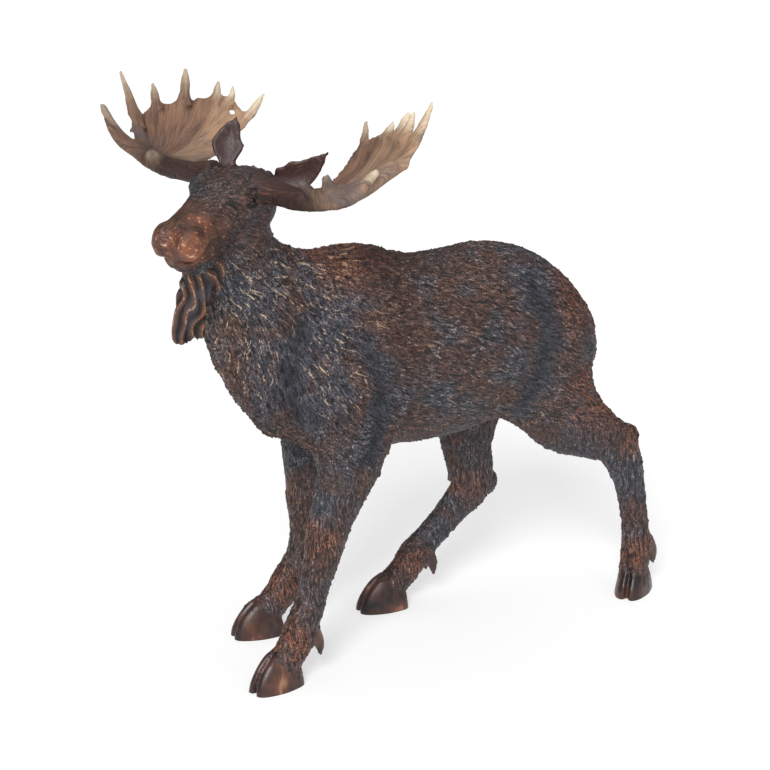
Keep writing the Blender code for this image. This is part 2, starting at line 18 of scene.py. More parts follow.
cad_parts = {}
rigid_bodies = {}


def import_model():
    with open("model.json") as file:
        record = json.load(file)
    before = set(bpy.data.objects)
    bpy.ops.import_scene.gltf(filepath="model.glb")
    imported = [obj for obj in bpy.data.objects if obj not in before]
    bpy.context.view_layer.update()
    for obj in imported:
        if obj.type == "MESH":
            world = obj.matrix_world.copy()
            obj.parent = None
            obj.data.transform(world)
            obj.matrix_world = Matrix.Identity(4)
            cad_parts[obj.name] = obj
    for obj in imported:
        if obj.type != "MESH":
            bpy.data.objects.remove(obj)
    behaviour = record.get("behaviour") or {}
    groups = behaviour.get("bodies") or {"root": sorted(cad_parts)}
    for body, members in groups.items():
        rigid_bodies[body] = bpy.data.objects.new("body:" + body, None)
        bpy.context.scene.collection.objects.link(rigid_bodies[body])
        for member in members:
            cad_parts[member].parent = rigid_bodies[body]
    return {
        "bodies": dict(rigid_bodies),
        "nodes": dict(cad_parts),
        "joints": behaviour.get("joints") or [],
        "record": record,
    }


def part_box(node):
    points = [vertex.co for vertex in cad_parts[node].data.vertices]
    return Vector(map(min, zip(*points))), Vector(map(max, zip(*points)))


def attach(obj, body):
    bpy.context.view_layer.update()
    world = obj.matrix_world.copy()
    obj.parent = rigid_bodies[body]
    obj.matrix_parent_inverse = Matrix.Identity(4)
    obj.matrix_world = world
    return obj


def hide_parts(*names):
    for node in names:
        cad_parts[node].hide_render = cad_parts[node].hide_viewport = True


bl_info = {
    "name": "Resin Moose Statue",
    "version": (1, 0, 0),
    "blender": (4, 5, 0),
    "location": "View3D > Sidebar > Statue",
    "description": "Carves and paints a cast resin moose around its packed solid",
    "category": "Add Mesh",
}

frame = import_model()
CAD_LOW, CAD_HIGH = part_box("moose")
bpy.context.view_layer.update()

# The height at the withers, as a share of the height to the tip of the antlers.
WITHERS_SHARE = 0.7199
WITHERS_HEIGHT = (CAD_HIGH.z - CAD_LOW.z) * WITHERS_SHARE

# How far below the ground the hooves start before they are cut level, and how fine a ring is.
SOLE_DEPTH = 0.0048
RING_SIDES = 28

# Sizes of the big locks, in shares: length, half width, lift at the tip, and how thick they grow.
LOCK_LENGTH = 0.110
LOCK_HALF_WIDTH = 0.019
LOCK_LIFT = 0.0050
LOCK_CHANCE = 0.035
LOCK_SEED = 4

# The head's own frame: the point midway between the eyes, in the figure's shares, and its turn.
HEAD_PLACE = (0.060, 0.465, 1.165)
HEAD_TURN = (30.0, 22.0, 4.0)

# Barrel and rump: forward, top, bottom, half width, how high the widest line lies.
TORSO = (
    (0.395, 0.850, 0.650, 0.045, 0.50),
    (0.345, 0.920, 0.580, 0.085, 0.48),
    (0.280, 0.955, 0.548, 0.112, 0.44),
    (0.180, 0.999, 0.522, 0.134, 0.42),
    (0.080, 0.996, 0.507, 0.147, 0.43),
    (-0.020, 0.965, 0.498, 0.154, 0.45),
    (-0.120, 0.958, 0.496, 0.158, 0.47),
    (-0.220, 0.967, 0.508, 0.156, 0.50),
    (-0.310, 0.957, 0.535, 0.148, 0.54),
    (-0.400, 0.922, 0.556, 0.140, 0.55),
    (-0.478, 0.862, 0.560, 0.120, 0.53),
    (-0.540, 0.785, 0.570, 0.084, 0.52),
    (-0.574, 0.712, 0.610, 0.038, 0.50),
)

# Neck from the shoulders to the skull: left, forward, up, half width, half depth.
NECK = (
    (0.000, 0.180, 0.740, 0.122, 0.215),
    (0.000, 0.280, 0.825, 0.114, 0.200),
    (0.005, 0.360, 0.908, 0.098, 0.152),
    (0.018, 0.412, 1.000, 0.082, 0.104),
    (0.036, 0.434, 1.085, 0.074, 0.086),
    (0.050, 0.448, 1.150, 0.066, 0.074),
)

# Skull and muzzle along the head's own forward axis: forward, top, bottom, half width.
HEAD = (
    (-0.145, -0.020, -0.060, 0.034),
    (-0.110, 0.008, -0.095, 0.062),
    (-0.055, 0.037, -0.115, 0.080),
    (0.000, 0.046, -0.108, 0.078),
    (0.045, 0.043, -0.092, 0.067),
    (0.090, 0.041, -0.080, 0.060),
    (0.135, 0.045, -0.074, 0.056),
    (0.170, 0.047, -0.068, 0.053),
    (0.197, 0.036, -0.060, 0.045),
    (0.216, 0.006, -0.040, 0.025),
)

# Legs from the body to the pastern: left, forward, up, half width, half depth.
LEGS = {
    "fore_left": (
        (0.066, 0.150, 0.680, 0.048, 0.105),
        (0.100, 0.165, 0.590, 0.056, 0.105),
        (0.122, 0.185, 0.520, 0.056, 0.088),
        (0.130, 0.214, 0.455, 0.050, 0.066),
        (0.134, 0.240, 0.400, 0.045, 0.054),
        (0.137, 0.258, 0.352, 0.045, 0.050),
        (0.139, 0.272, 0.300, 0.038, 0.042),
        (0.140, 0.290, 0.240, 0.031, 0.036),
        (0.141, 0.305, 0.190, 0.031, 0.035),
        (0.142, 0.323, 0.150, 0.035, 0.038),
        (0.142, 0.336, 0.120, 0.038, 0.041),
        (0.142, 0.352, 0.090, 0.036, 0.039),
        (0.142, 0.378, 0.055, 0.036, 0.036),
    ),
    "fore_right": (
        (-0.066, 0.130, 0.680, 0.048, 0.105),
        (-0.100, 0.146, 0.590, 0.056, 0.102),
        (-0.125, 0.156, 0.510, 0.056, 0.086),
        (-0.134, 0.160, 0.450, 0.051, 0.068),
        (-0.138, 0.160, 0.390, 0.046, 0.056),
        (-0.140, 0.164, 0.335, 0.045, 0.051),
        (-0.141, 0.166, 0.285, 0.038, 0.041),
        (-0.142, 0.172, 0.235, 0.031, 0.035),
        (-0.143, 0.184, 0.185, 0.031, 0.034),
        (-0.143, 0.203, 0.148, 0.035, 0.038),
        (-0.143, 0.220, 0.120, 0.038, 0.041),
        (-0.143, 0.243, 0.090, 0.036, 0.039),
        (-0.143, 0.280, 0.058, 0.036, 0.036),
    ),
    "hind_left": (
        (0.070, -0.370, 0.680, 0.070, 0.135),
        (0.088, -0.402, 0.590, 0.064, 0.128),
        (0.100, -0.452, 0.518, 0.056, 0.104),
        (0.108, -0.528, 0.462, 0.047, 0.072),
        (0.113, -0.588, 0.422, 0.042, 0.056),
        (0.116, -0.619, 0.368, 0.037, 0.048),
        (0.118, -0.640, 0.300, 0.031, 0.039),
        (0.120, -0.653, 0.230, 0.029, 0.035),
        (0.120, -0.662, 0.175, 0.031, 0.036),
        (0.121, -0.667, 0.130, 0.036, 0.040),
        (0.121, -0.664, 0.095, 0.035, 0.038),
        (0.121, -0.658, 0.055, 0.036, 0.036),
    ),
    "hind_right": (
        (-0.070, -0.330, 0.680, 0.070, 0.130),
        (-0.088, -0.305, 0.590, 0.064, 0.120),
        (-0.100, -0.290, 0.515, 0.056, 0.100),
        (-0.108, -0.286, 0.440, 0.048, 0.080),
        (-0.112, -0.292, 0.380, 0.042, 0.065),
        (-0.115, -0.304, 0.325, 0.040, 0.062),
        (-0.117, -0.300, 0.280, 0.038, 0.054),
        (-0.119, -0.256, 0.234, 0.032, 0.042),
        (-0.120, -0.208, 0.190, 0.030, 0.037),
        (-0.121, -0.168, 0.154, 0.032, 0.038),
        (-0.121, -0.138, 0.126, 0.036, 0.042),
        (-0.121, -0.110, 0.094, 0.035, 0.038),
        (-0.121, -0.070, 0.056, 0.036, 0.036),
    ),
}

# Hooves: left, forward of the sole's middle, and how far the toes turn out, in degrees.
HOOVES = {
    "fore_left": (0.143, 0.400, 12.0),
    "fore_right": (-0.143, 0.303, -6.0),
    "hind_left": (0.121, -0.660, 38.0),
    "hind_right": (-0.121, -0.042, -4.0),
}

# One toe of a hoof along its length: forward, top, half width.
TOE = (
    (-0.060, 0.030, 0.014),
    (-0.045, 0.062, 0.021),
    (-0.015, 0.088, 0.024),
    (0.015, 0.084, 0.024),
    (0.040, 0.062, 0.021),
    (0.058, 0.036, 0.015),
    (0.067, 0.014, 0.006),
)
TOE_SPREAD = 0.0225
DEWCLAW_TURN = 0.3

# Muscles that stand out: left, forward, up, then half sizes, and the tilt in the side view.
MUSCLES = (
    (0.086, 0.215, 0.700, 0.050, 0.095, 0.170, -16.0),
    (0.092, 0.120, 0.570, 0.042, 0.072, 0.080, 20.0),
    (0.080, -0.400, 0.700, 0.064, 0.125, 0.170, 8.0),
    (0.096, -0.330, 0.600, 0.042, 0.075, 0.100, -30.0),
)

# Antlers in the head's frame, as outward, forward, up. 1 is the left one and -1 the right one.
BEAM = {
    1: (
        (0.050, -0.050, 0.014, 0.036),
        (0.110, -0.050, 0.000, 0.028),
        (0.176, -0.046, -0.002, 0.025),
        (0.240, -0.060, 0.006, 0.026),
        (0.300, -0.092, 0.022, 0.022),
        (0.366, -0.150, 0.062, 0.019),
    ),
    -1: (
        (0.050, -0.050, 0.016, 0.036),
        (0.110, -0.048, 0.014, 0.025),
        (0.176, -0.046, 0.018, 0.023),
        (0.237, -0.055, 0.036, 0.023),
        (0.264, -0.090, 0.036, 0.017),
        (0.306, -0.135, 0.044, 0.012),
    ),
}

# The palm's four edges: along the beam, along the leading tine, the inner edge and the rim.
PALM_ROOT = {
    1: ((0.270, -0.074, 0.006), (0.225, -0.076, -0.004), (0.195, -0.085, 0.000)),
    -1: ((0.248, -0.078, 0.026), (0.205, -0.078, 0.012), (0.150, -0.085, 0.004)),
}
PALM_FRONT = {
    1: ((0.270, -0.074, 0.006), (0.332, -0.118, 0.034), (0.391, -0.196, 0.082)),
    -1: ((0.248, -0.078, 0.026), (0.292, -0.122, 0.036), (0.338, -0.188, 0.052)),
}
PALM_INNER = {
    1: ((0.195, -0.085, 0.000), (0.176, -0.190, -0.026), (0.156, -0.276, -0.048), (0.144, -0.355, -0.036)),
    -1: ((0.150, -0.085, 0.004), (0.152, -0.190, -0.032), (0.154, -0.276, -0.046), (0.146, -0.345, -0.034)),
}
PALM_RIM = {
    1: (
        (0.391, -0.196, 0.082),
        (0.358, -0.252, 0.080),
        (0.318, -0.292, 0.062),
        (0.268, -0.320, 0.028),
        (0.232, -0.345, 0.006),
        (0.186, -0.362, -0.030),
        (0.144, -0.355, -0.036),
    ),
    -1: (
        (0.338, -0.188, 0.052),
        (0.332, -0.208, 0.044),
        (0.308, -0.275, 0.032),
        (0.264, -0.330, 0.020),
        (0.205, -0.355, 0.020),
        (0.178, -0.365, -0.012),
        (0.146, -0.345, -0.034),
    ),
}
PALM_SAG = 0.020
PALM_THICK = 0.015

# Tines: root on the palm, tip, half width at the root.
TINES = {
    1: (
        ((0.370, -0.165, 0.064), (0.410, -0.258, 0.163), 0.025),
        ((0.330, -0.240, 0.064), (0.330, -0.305, 0.094), 0.018),
        ((0.284, -0.282, 0.036), (0.297, -0.338, 0.066), 0.026),
        ((0.232, -0.318, 0.004), (0.231, -0.374, 0.010), 0.020),
        ((0.166, -0.326, -0.042), (0.136, -0.408, -0.028), 0.018),
    ),
    -1: (
        ((0.316, -0.148, 0.044), (0.407, -0.242, 0.113), 0.020),
        ((0.322, -0.232, 0.040), (0.360, -0.291, 0.066), 0.020),
        ((0.282, -0.285, 0.026), (0.290, -0.336, 0.090), 0.027),
        ((0.228, -0.325, 0.018), (0.229, -0.371, 0.043), 0.020),
        ((0.194, -0.345, 0.004), (0.203, -0.386, 0.027), 0.015),
        ((0.158, -0.325, -0.036), (0.135, -0.408, 0.001), 0.022),
    ),
}
BROW_TINES = {
    1: (
        ((0.245, -0.060, 0.000), (0.305, -0.060, 0.030), (0.350, -0.090, 0.080), 0.022),
        ((0.250, -0.055, 0.000), (0.244, -0.055, 0.030), (0.228, -0.070, 0.058), 0.022),
        ((0.216, -0.046, -0.006), (0.208, -0.036, 0.030), (0.188, -0.028, 0.061), 0.016),
    ),
    -1: (
        ((0.237, -0.055, 0.030), (0.305, -0.062, 0.066), (0.350, -0.086, 0.130), 0.019),
        ((0.210, -0.050, 0.024), (0.206, -0.040, 0.045), (0.200, -0.034, 0.060), 0.017),
    ),
}

# Dents in the head's frame, mirrored: outward, forward, up, radius, depth.
DENTS = (
    (0.041, 0.196, 0.006, 0.011, 0.005),
    (0.034, 0.206, -0.002, 0.009, 0.003),
    (0.078, 0.018, 0.004, 0.012, 0.005),
    (0.074, -0.018, -0.004, 0.012, 0.005),
)

# The mouth's line on each side: outward, forward, up. Then its half width and depth.
MOUTH = ((0.010, 0.226, -0.026), (0.043, 0.192, -0.022), (0.057, 0.150, -0.017), (0.062, 0.110, -0.022))
MOUTH_HALF_WIDTH = 0.008
MOUTH_DEPTH = 0.007

# Ears in the head's frame: base, middle, tip, and the way the hollow faces.
EARS = {
    1: ((0.066, -0.112, -0.006), (0.120, -0.142, -0.006), (0.176, -0.178, 0.040), (0.30, 0.70, 0.35)),
    -1: ((-0.052, -0.105, 0.010), (-0.066, -0.148, 0.046), (-0.052, -0.184, 0.092), (0.5, 0.6, 0.65)),
}
EAR_HALF_WIDTHS = (0.020, 0.031, 0.038, 0.030, 0.016, 0.003)

# Locks of the dewlap: left, forward, up, half thickness from the throat to the tip.
BELL = (
    ((0.092, 0.535, 1.050, 0.027), (0.092, 0.562, 0.995, 0.021), (0.090, 0.581, 0.940, 0.017),
     (0.084, 0.592, 0.880, 0.014), (0.082, 0.588, 0.852, 0.008)),
    ((0.070, 0.525, 1.040, 0.034), (0.084, 0.552, 0.985, 0.026), (0.080, 0.568, 0.925, 0.018),
     (0.074, 0.568, 0.872, 0.013), (0.072, 0.566, 0.850, 0.007)),
    ((0.062, 0.510, 1.030, 0.036), (0.072, 0.535, 0.970, 0.028), (0.070, 0.545, 0.910, 0.020),
     (0.062, 0.535, 0.870, 0.013), (0.060, 0.530, 0.852, 0.008)),
)

# Pieces that the carved skin is parted into, in the order of their numbers.
PIECES = (
    "antler_left", "antler_right", "head", "forequarter", "hindquarter",
    "fore_leg_left", "fore_leg_right", "hind_leg_left", "hind_leg_right",
)

# Where the skin is parted, in shares: out along the beams, up the neck, along the barrel, up the legs.
BEAM_CUT = 0.100
NECK_CUT = 0.900
BARREL_CUT = 0.030
LEG_CUT = 0.470
BELL_BACK = 0.505
EAR_FRONT = -0.088
LEGS_MIDDLE = 0.060
NEAR_CUT = 0.014

# Places along a tine that are brushed pale, and how far from them the paleness reaches.
TINE_SHARES = (0.40, 0.55, 0.70, 0.85, 1.0)
TINE_REACH = (0.010, 0.034)

# Where along a tine its root is eased into the palm, and in how many rounds.
ROOT_SHARE = 0.06
ROOT_ROUNDS = 24

# Creases of the body seen from the side: forward and up along each line, then its width and depth.
CREASES = (
    (((-0.335, 0.860), (-0.365, 0.760), (-0.350, 0.660), (-0.300, 0.575)), 0.030, 0.0100),
    (((0.150, 0.800), (0.115, 0.700), (0.120, 0.610), (0.150, 0.540)), 0.026, 0.0060),
    (((-0.480, 0.760), (-0.510, 0.660), (-0.520, 0.570)), 0.020, 0.0045),
    (((0.300, 0.860), (0.330, 0.740), (0.310, 0.640)), 0.030, 0.0060),
)

# Eyes in the head's frame, mirrored: outward, forward, up, and the half length and height of the lids.
EYE_PLACE = (0.079, 0.002, 0.002)
EYE_HALF = (0.0130, 0.0080)

# The way each ear runs from its base to its tip, along the head's own axes.
EAR_WAYS = {1: (0.80, 0.48, 0.32), -1: (0.0, 0.72, 0.69)}

# Nostrils in the head's frame, mirrored: outward, forward, up, radius, depth. Then the rim's height.
NOSTRIL = (0.040, 0.200, 0.004, 0.0110, 0.0035)
NOSTRIL_RIM = 0.0012

# The mouth's slot and the full lip beside it, in shares.
SLOT_HALF_WIDTH = 0.0058
SLOT_DEPTH = 0.0070
LIP_PLACE = 0.0150
LIP_HALF_WIDTH = 0.0065
LIP_LIFT = 0.0030

# The cleft of a hoof, in shares: half width, depth and how far round the hoof it may reach.
CLEFT_HALF_WIDTH = 0.0050
CLEFT_DEPTH = 0.010
CLEFT_REACH = 0.085

# The root that the grain of each antler fans out from, out and back, and the depth of its grooves.
FAN_ROOT = (0.215, 0.050)
GROOVE_DEPTH = 0.0018

# Places where copper shows through the paint: left, forward, up, radius. Mirrored where left isn't 0.
COPPER_SPOTS = (
    (0.000, 0.150, 0.990, 0.150),
    (0.060, -0.480, 0.800, 0.150),
    (0.100, -0.500, 0.560, 0.140),
    (0.140, 0.270, 0.350, 0.080),
    (0.145, 0.360, 0.100, 0.090),
    (0.125, -0.290, 0.300, 0.080),
    (0.120, -0.130, 0.110, 0.080),
    (0.120, -0.660, 0.110, 0.080),
    (0.120, -0.620, 0.420, 0.060),
    (0.145, 0.230, 0.110, 0.080),
)

# The studio, in shares: left, forward, up of the camera, of what it looks at, and of the lights.
CAMERA_PLACE = (3.9093, 2.3047, 2.1146)
CAMERA_TARGET = (0.2144, 0.1451, 0.7240)
KEY_PLACE = (3.40, 3.10, 3.90)
FILL_PLACE = (4.60, -0.76, 1.60)
TOP_PLACE = (0.30, -0.30, 5.00)
FLOOR_GAP = -0.0001

# How broad the lights look, in degrees.
KEY_SPREAD = 22
FILL_SPREAD = 60
TOP_SPREAD = 90

# How much of the floor's white is its own, so that shadows on it stay faint.
FLOOR_GLOW = 0.52

# Strokes that are laid at one time.
PORTION = 2000

# Waves of the dewlap's locks, in shares: their width, how far they sway, how often, and their depth.
BELL_WAVES = (0.0230, 0.016, 30.0, 0.0050)

# Streaks of fur in the paint, as noise lumps to the metre.
FUR_SCALE = 600

# How far the streaks sway to and fro, in metres.
SWAY = 0.008

# How far the coat leans down from straight back, in degrees: on the barrel, the neck and the legs.
COAT_LEANS = (23, 66, 88)


def srgb(red, green, blue):
    """A colour as a painter reads it off a card, 0 to 255, made linear for the shader."""

    def linear(value):
        return ((value / 255 + 0.055) / 1.055) ** 2.4 if value > 10 else value / 3295

    return tuple(linear(value) for value in (red, green, blue))


def length(name, description, default):
    return bpy.props.FloatProperty(
        name=name, description=description, default=default, unit="LENGTH", precision=5)


def number(name, description, default):
    return bpy.props.FloatProperty(name=name, description=description, default=default)


def count(name, description, default):
    return bpy.props.IntProperty(name=name, description=description, default=default)


def colour(name, description, red, green, blue):
    default = srgb(red, green, blue)
    return bpy.props.FloatVectorProperty(
        name=name, description=description, default=default, subtype="COLOR", min=0, max=1)


class CarvingSizes(bpy.types.PropertyGroup):
    """Sizes of the skin and of its fur."""

    mesh_step: length("Mesh step", "Edge length of the skin before it is divided once", 0.00225)
    stroke_count: count("Strokes", "Short strokes of fur on the coat", 30000)
    stroke_length: length("Stroke length", "Length of a short stroke of fur", 0.0105)
    stroke_half_width: length("Stroke half width", "Half the width of a stroke at its root", 0.00105)
    stroke_lift: length("Stroke lift", "How far a stroke stands out at its tip", 0.00065)
    strand_count: count("Strands", "Long strands in the mane", 6500)
    strand_length: length("Strand length", "Length of a strand in the mane", 0.0330)
    strand_half_width: length("Strand half width", "Half the width of a strand of the mane", 0.00130)
    strand_lift: length("Strand lift", "How far a strand of the mane stands out", 0.00135)
    seed: count("Seed", "Seed of the places of the strokes", 7)


class PaintColours(bpy.types.PropertyGroup):
    """Colours of the paint, each a coat that was laid over the one before."""

    # The ground is also laid as painted shade in the gaps of the fur, the creases, the dewlap's grooves and
    # the mouth's slot.
    ground: colour("Ground", "Charcoal brown ground of the coat", 9, 7, 8)
    warm: colour("Warm brown", "Warmer brown in broad patches", 90, 61, 53)
    slate: colour("Slate", "Blue grey wash in the hollows", 68, 71, 84)
    copper: colour("Copper", "Reddish brown on the withers, thighs and joints", 142, 82, 54)
    # Gold is also laid on the hooves as painted highlight.
    gold: colour("Gold", "Pale gold brushed over the tips of the fur", 210, 182, 152)
    muzzle: colour("Muzzle", "Copper bronze of the muzzle and brow", 92, 58, 44)
    antler: colour("Antler", "Tan of the palms", 156, 117, 88)
    grain: colour("Grain", "Brown along the grain of the antlers", 80, 58, 50)
    ivory: colour("Ivory", "Pale tips of the tines", 222, 204, 176)
    beam: colour("Beam", "Red brown of the antlers near the head", 66, 40, 35)
    hoof: colour("Hoof", "Brown of the hooves", 78, 50, 41)
    hoof_edge: colour("Hoof edge", "Dark brown along the edges of the hooves", 28, 23, 25)
    ear: colour("Ear", "Reddish inside of the ears", 66, 36, 32)
    # Also laid in the nostrils' hollows as painted shade.
    eye: colour("Eye", "Near black of the eyes", 18, 13, 12)


class StudioSettings(bpy.types.PropertyGroup):
    """The floor, the lights and the camera."""

    floor_size: length("Floor size", "Side of the square floor", 14.0)
    key_power: number("Key light", "Strength of the main light", 2.8)
    fill_power: number("Fill light", "Strength of the fill", 0.5)
    top_power: number("Top light", "Strength of the overhead", 1.2)
    sky: number("Sky", "Strength of the white surroundings", 0.19)
    lens: number("Lens", "Focal length of the camera in mm", 92.6)
    figure_origin: bpy.props.FloatVectorProperty(
        name="Figure origin", description="Where the tables' own origin lies", default=(0, 0, 0),
        unit="LENGTH")


def at(left, forward, up):
    """A point of the figure, from shares of its height to the part's own axes, still in shares."""
    return Vector((left, -forward, up))


def head_frame():
    yaw, pitch, roll = (math.radians(angle) for angle in HEAD_TURN)
    turn = Matrix.Rotation(yaw, 4, "Z") @ Matrix.Rotation(pitch, 4, "X") @ Matrix.Rotation(roll, 4, "Y")
    return Matrix.Translation(at(*HEAD_PLACE)) @ turn


def curve(rows, steps):
    """Rows of numbers joined by a smooth curve, with so many steps from each row to the next."""
    rows = [np.array(row, float) for row in rows]
    rows = [2 * rows[0] - rows[1]] + rows + [2 * rows[-1] - rows[-2]]
    out = []
    for a, b, c, d in zip(rows, rows[1:], rows[2:], rows[3:]):
        for step in range(steps):
            t = step / steps
            bend, turn = 2 * a - 5 * b + 4 * c - d, 3 * b - a - 3 * c + d
            out.append(0.5 * (2 * b + (c - a) * t + bend * t**2 + turn * t**3))
    return out + [rows[-2]]


def loft(bm, rings):
    """A closed skin over rings of points, each ring a list of as many points."""
    last = len(rings) - 1
    before = None
    for index, points in enumerate(rings):
        made = bmesh.ops.create_circle(bm, cap_ends=index in (0, last), segments=len(points), radius=1.0)
        for vertex, point in zip(made["verts"], points):
            vertex.co = point
        edges = list({edge for vertex in made["verts"] for edge in vertex.link_edges})
        if before:
            bmesh.ops.bridge_loops(bm, edges=before + edges)
        before = edges


def angles(sides):
    return [2 * math.pi * k / sides for k in range(sides)]


def torso(bm):
    rings = []
    for forward, top, bottom, wide, share in curve(TORSO, 4):
        middle = bottom + (top - bottom) * share
        ring = []
        for a in angles(RING_SIDES + 12):
            across, high = math.cos(a), math.sin(a)
            reach = (top - middle) if high > 0 else (middle - bottom)
            pinch = 1 - 0.16 * max(high, 0) ** 3
            across = math.copysign(abs(across) ** 0.88, across) * pinch
            ring.append(at(wide * across, forward, middle + reach * high))
        rings.append(ring)
    loft(bm, rings)


def tube(bm, rows, side, sides=RING_SIDES, square=1.0, steps=4):
    """A limb along rows of left, forward, up, half width and half depth. side is the width's way."""
    rows = curve(rows, steps)
    spots = [at(*row[:3]) for row in rows]
    rings = []
    for index, (spot, row) in enumerate(zip(spots, rows)):
        along = spots[min(index + 1, len(spots) - 1)] - spots[max(index - 1, 0)]
        deep = along.cross(side).normalized()
        wide = deep.cross(along).normalized()
        ring = []
        for a in angles(sides):
            c = math.copysign(abs(math.cos(a)) ** square, math.cos(a))
            s = math.copysign(abs(math.sin(a)) ** square, math.sin(a))
            ring.append(spot + wide * (row[3] * c) + deep * (row[4] * s))
        rings.append(ring)
    loft(bm, rings)


def lump(bm, place, sizes, turn=None):
    """An egg shape with three half sizes."""
    matrix = Matrix.Translation(place) @ (turn or Matrix()) @ Matrix.Diagonal((*sizes, 1))
    bmesh.ops.create_uvsphere(bm, u_segments=24, v_segments=16, radius=1.0, matrix=matrix)


def muscles(bm):
    for left, forward, up, half_width, half_depth, half_height, tilt in MUSCLES:
        for side in (1, -1):
            turn = Matrix.Rotation(math.radians(tilt), 4, "X")
            lump(bm, at(side * left, forward, up), (half_width, half_depth, half_height), turn)
    lump(bm, at(0, -0.556, 0.735), (0.022, 0.022, 0.050))


def hocks(bm):
    lump(bm, at(0.114, -0.632, 0.436), (0.024, 0.030, 0.034))
    lump(bm, at(-0.116, -0.350, 0.288), (0.024, 0.032, 0.034))
    lump(bm, at(0.137, 0.276, 0.356), (0.032, 0.032, 0.044))
    lump(bm, at(-0.140, 0.172, 0.338), (0.032, 0.030, 0.042))


def hoof(bm, left, forward, turn_out):
    place = Matrix.Translation(at(left, forward, 0)) @ Matrix.Rotation(math.radians(turn_out), 4, "Z")
    for side in (1, -1):
        rings = []
        for along, top, half in curve(TOE, 3):
            ring = []
            for a in angles(20):
                c, s = math.cos(a), math.sin(a)
                lean = 0.010 * side * (top / 0.088)
                spread = side * (TOE_SPREAD - 0.010 * max(along, 0) / 0.067)
                high = top * max(s, 0) ** 0.8 if s > 0 else -SOLE_DEPTH / WITHERS_HEIGHT
                wide = half * math.copysign(abs(c) ** 0.7, c) * (1.0 if s <= 0 else 1 - 0.25 * s)
                ring.append(place @ at(spread - lean * max(s, 0) + wide, along, high))
            rings.append(ring)
        loft(bm, rings)


def dewclaws(bm, leg):
    """Two small claws behind each fetlock."""
    rows = LEGS[leg]
    ankle, above = rows[-3], rows[-4]
    turn_out = math.radians(HOOVES[leg][2]) * DEWCLAW_TURN
    back = Matrix.Rotation(turn_out, 3, "Z") @ Vector((0, 1, 0))
    base = at(*ankle[:3])
    for side in (1, -1):
        across = Matrix.Rotation(turn_out, 3, "Z") @ Vector((side, 0, 0))
        start = base + back * 0.020 + across * 0.016 + Vector((0, 0, 0.012))
        end = base + back * 0.046 + across * 0.020 + Vector((0, 0, -0.062))
        middle = (start + end) / 2 + back * 0.010
        rows = []
        for spot, half in ((start, 0.020), (middle, 0.014), (end, 0.004)):
            rows.append((spot.x, -spot.y, spot.z, half, half))
        tube(bm, rows, across, sides=12)


def legs(bm):
    for name, rows in LEGS.items():
        tube(bm, rows, Vector((1, 0, 0)))
        dewclaws(bm, name)
    for left, forward, turn_out in HOOVES.values():
        hoof(bm, left, forward, turn_out)


def head(bm, frame):
    rings = []
    for forward, top, bottom, wide in curve(HEAD, 4):
        middle = (top + bottom) / 2 + 0.012
        ring = []
        for a in angles(RING_SIDES + 8):
            c, s = math.cos(a), math.sin(a)
            reach = (top - middle) if s > 0 else (middle - bottom)
            narrow = 1 - 0.30 * max(-s, 0) ** 2
            across = wide * math.copysign(abs(c) ** 0.85, c) * narrow
            ring.append(frame @ at(across, forward, middle + reach * math.copysign(abs(s) ** 0.9, s)))
        rings.append(ring)
    loft(bm, rings)
    turn = frame.to_3x3().to_4x4()
    for side in (1, -1):
        lump(bm, frame @ at(side * 0.058, -0.004, 0.022), (0.022, 0.036, 0.018), turn)
        lump(bm, frame @ at(side * 0.071, 0.002, 0.000), (0.010, 0.012, 0.010), turn)
        lump(bm, frame @ at(side * 0.046, -0.045, -0.060), (0.036, 0.070, 0.045), turn)
        lump(bm, frame @ at(side * 0.030, 0.182, 0.006), (0.030, 0.040, 0.040), turn)
    lump(bm, frame @ at(0, 0.120, -0.076), (0.034, 0.055, 0.020), turn)


def ear(bm, frame, side):
    base, middle, tip, facing = EARS[side]
    facing = at(*facing)
    steps = len(EAR_HALF_WIDTHS)
    rings = []
    spots = curve([base, middle, tip], steps)
    halves = curve([(half,) for half in EAR_HALF_WIDTHS], 3)
    for index, spot in enumerate(spots):
        half = halves[round(index * (len(halves) - 1) / (len(spots) - 1))][0]
        along = at(*(spots[min(index + 1, len(spots) - 1)] - spots[max(index - 1, 0)])).normalized()
        wide = along.cross(facing).normalized()
        thick = wide.cross(along).normalized()
        thick = thick if thick.dot(facing) > 0 else -thick
        ring = []
        for a in angles(24):
            c, s = math.cos(a), math.sin(a)
            cup = 0.55 * half * (c * c - 0.5)
            ring.append(frame @ (at(*spot) + wide * (half * c) + thick * (cup + 0.32 * half * s + 0.002 * s)))
        rings.append(ring)
    loft(bm, rings)


def mix(a, b, t):
    return a + (b - a) * t


def palm(bm, frame, side):
    """The broad blade: a sheet patched between its four edges, hollowed like a dish."""
    count = 12
    tables = (PALM_ROOT, PALM_RIM, PALM_FRONT, PALM_INNER)
    edges = [curve(rows[side], 12) for rows in tables]

    def on(edge, t):
        place = t * (len(edge) - 1)
        low = min(int(place), len(edge) - 2)
        return mix(edge[low], edge[low + 1], place - low)

    root, rim, front, inner = edges
    made = bmesh.ops.create_grid(bm, x_segments=count, y_segments=count, size=0.5)
    for vertex in made["verts"]:
        u, v = vertex.co.x + 0.5, vertex.co.y + 0.5
        across = mix(on(root, u), on(rim, u), v) + mix(on(front, v), on(inner, v), u)
        corners = mix(mix(root[0], root[-1], u), mix(rim[0], rim[-1], u), v)
        out, forward, up = across - corners
        up -= PALM_SAG * 16 * u * (1 - u) * v * (1 - v)
        vertex.co = frame @ at(side * out, forward, up)
    faces = list({face for vertex in made["verts"] for face in vertex.link_faces})
    bmesh.ops.solidify(bm, geom=faces, thickness=PALM_THICK)


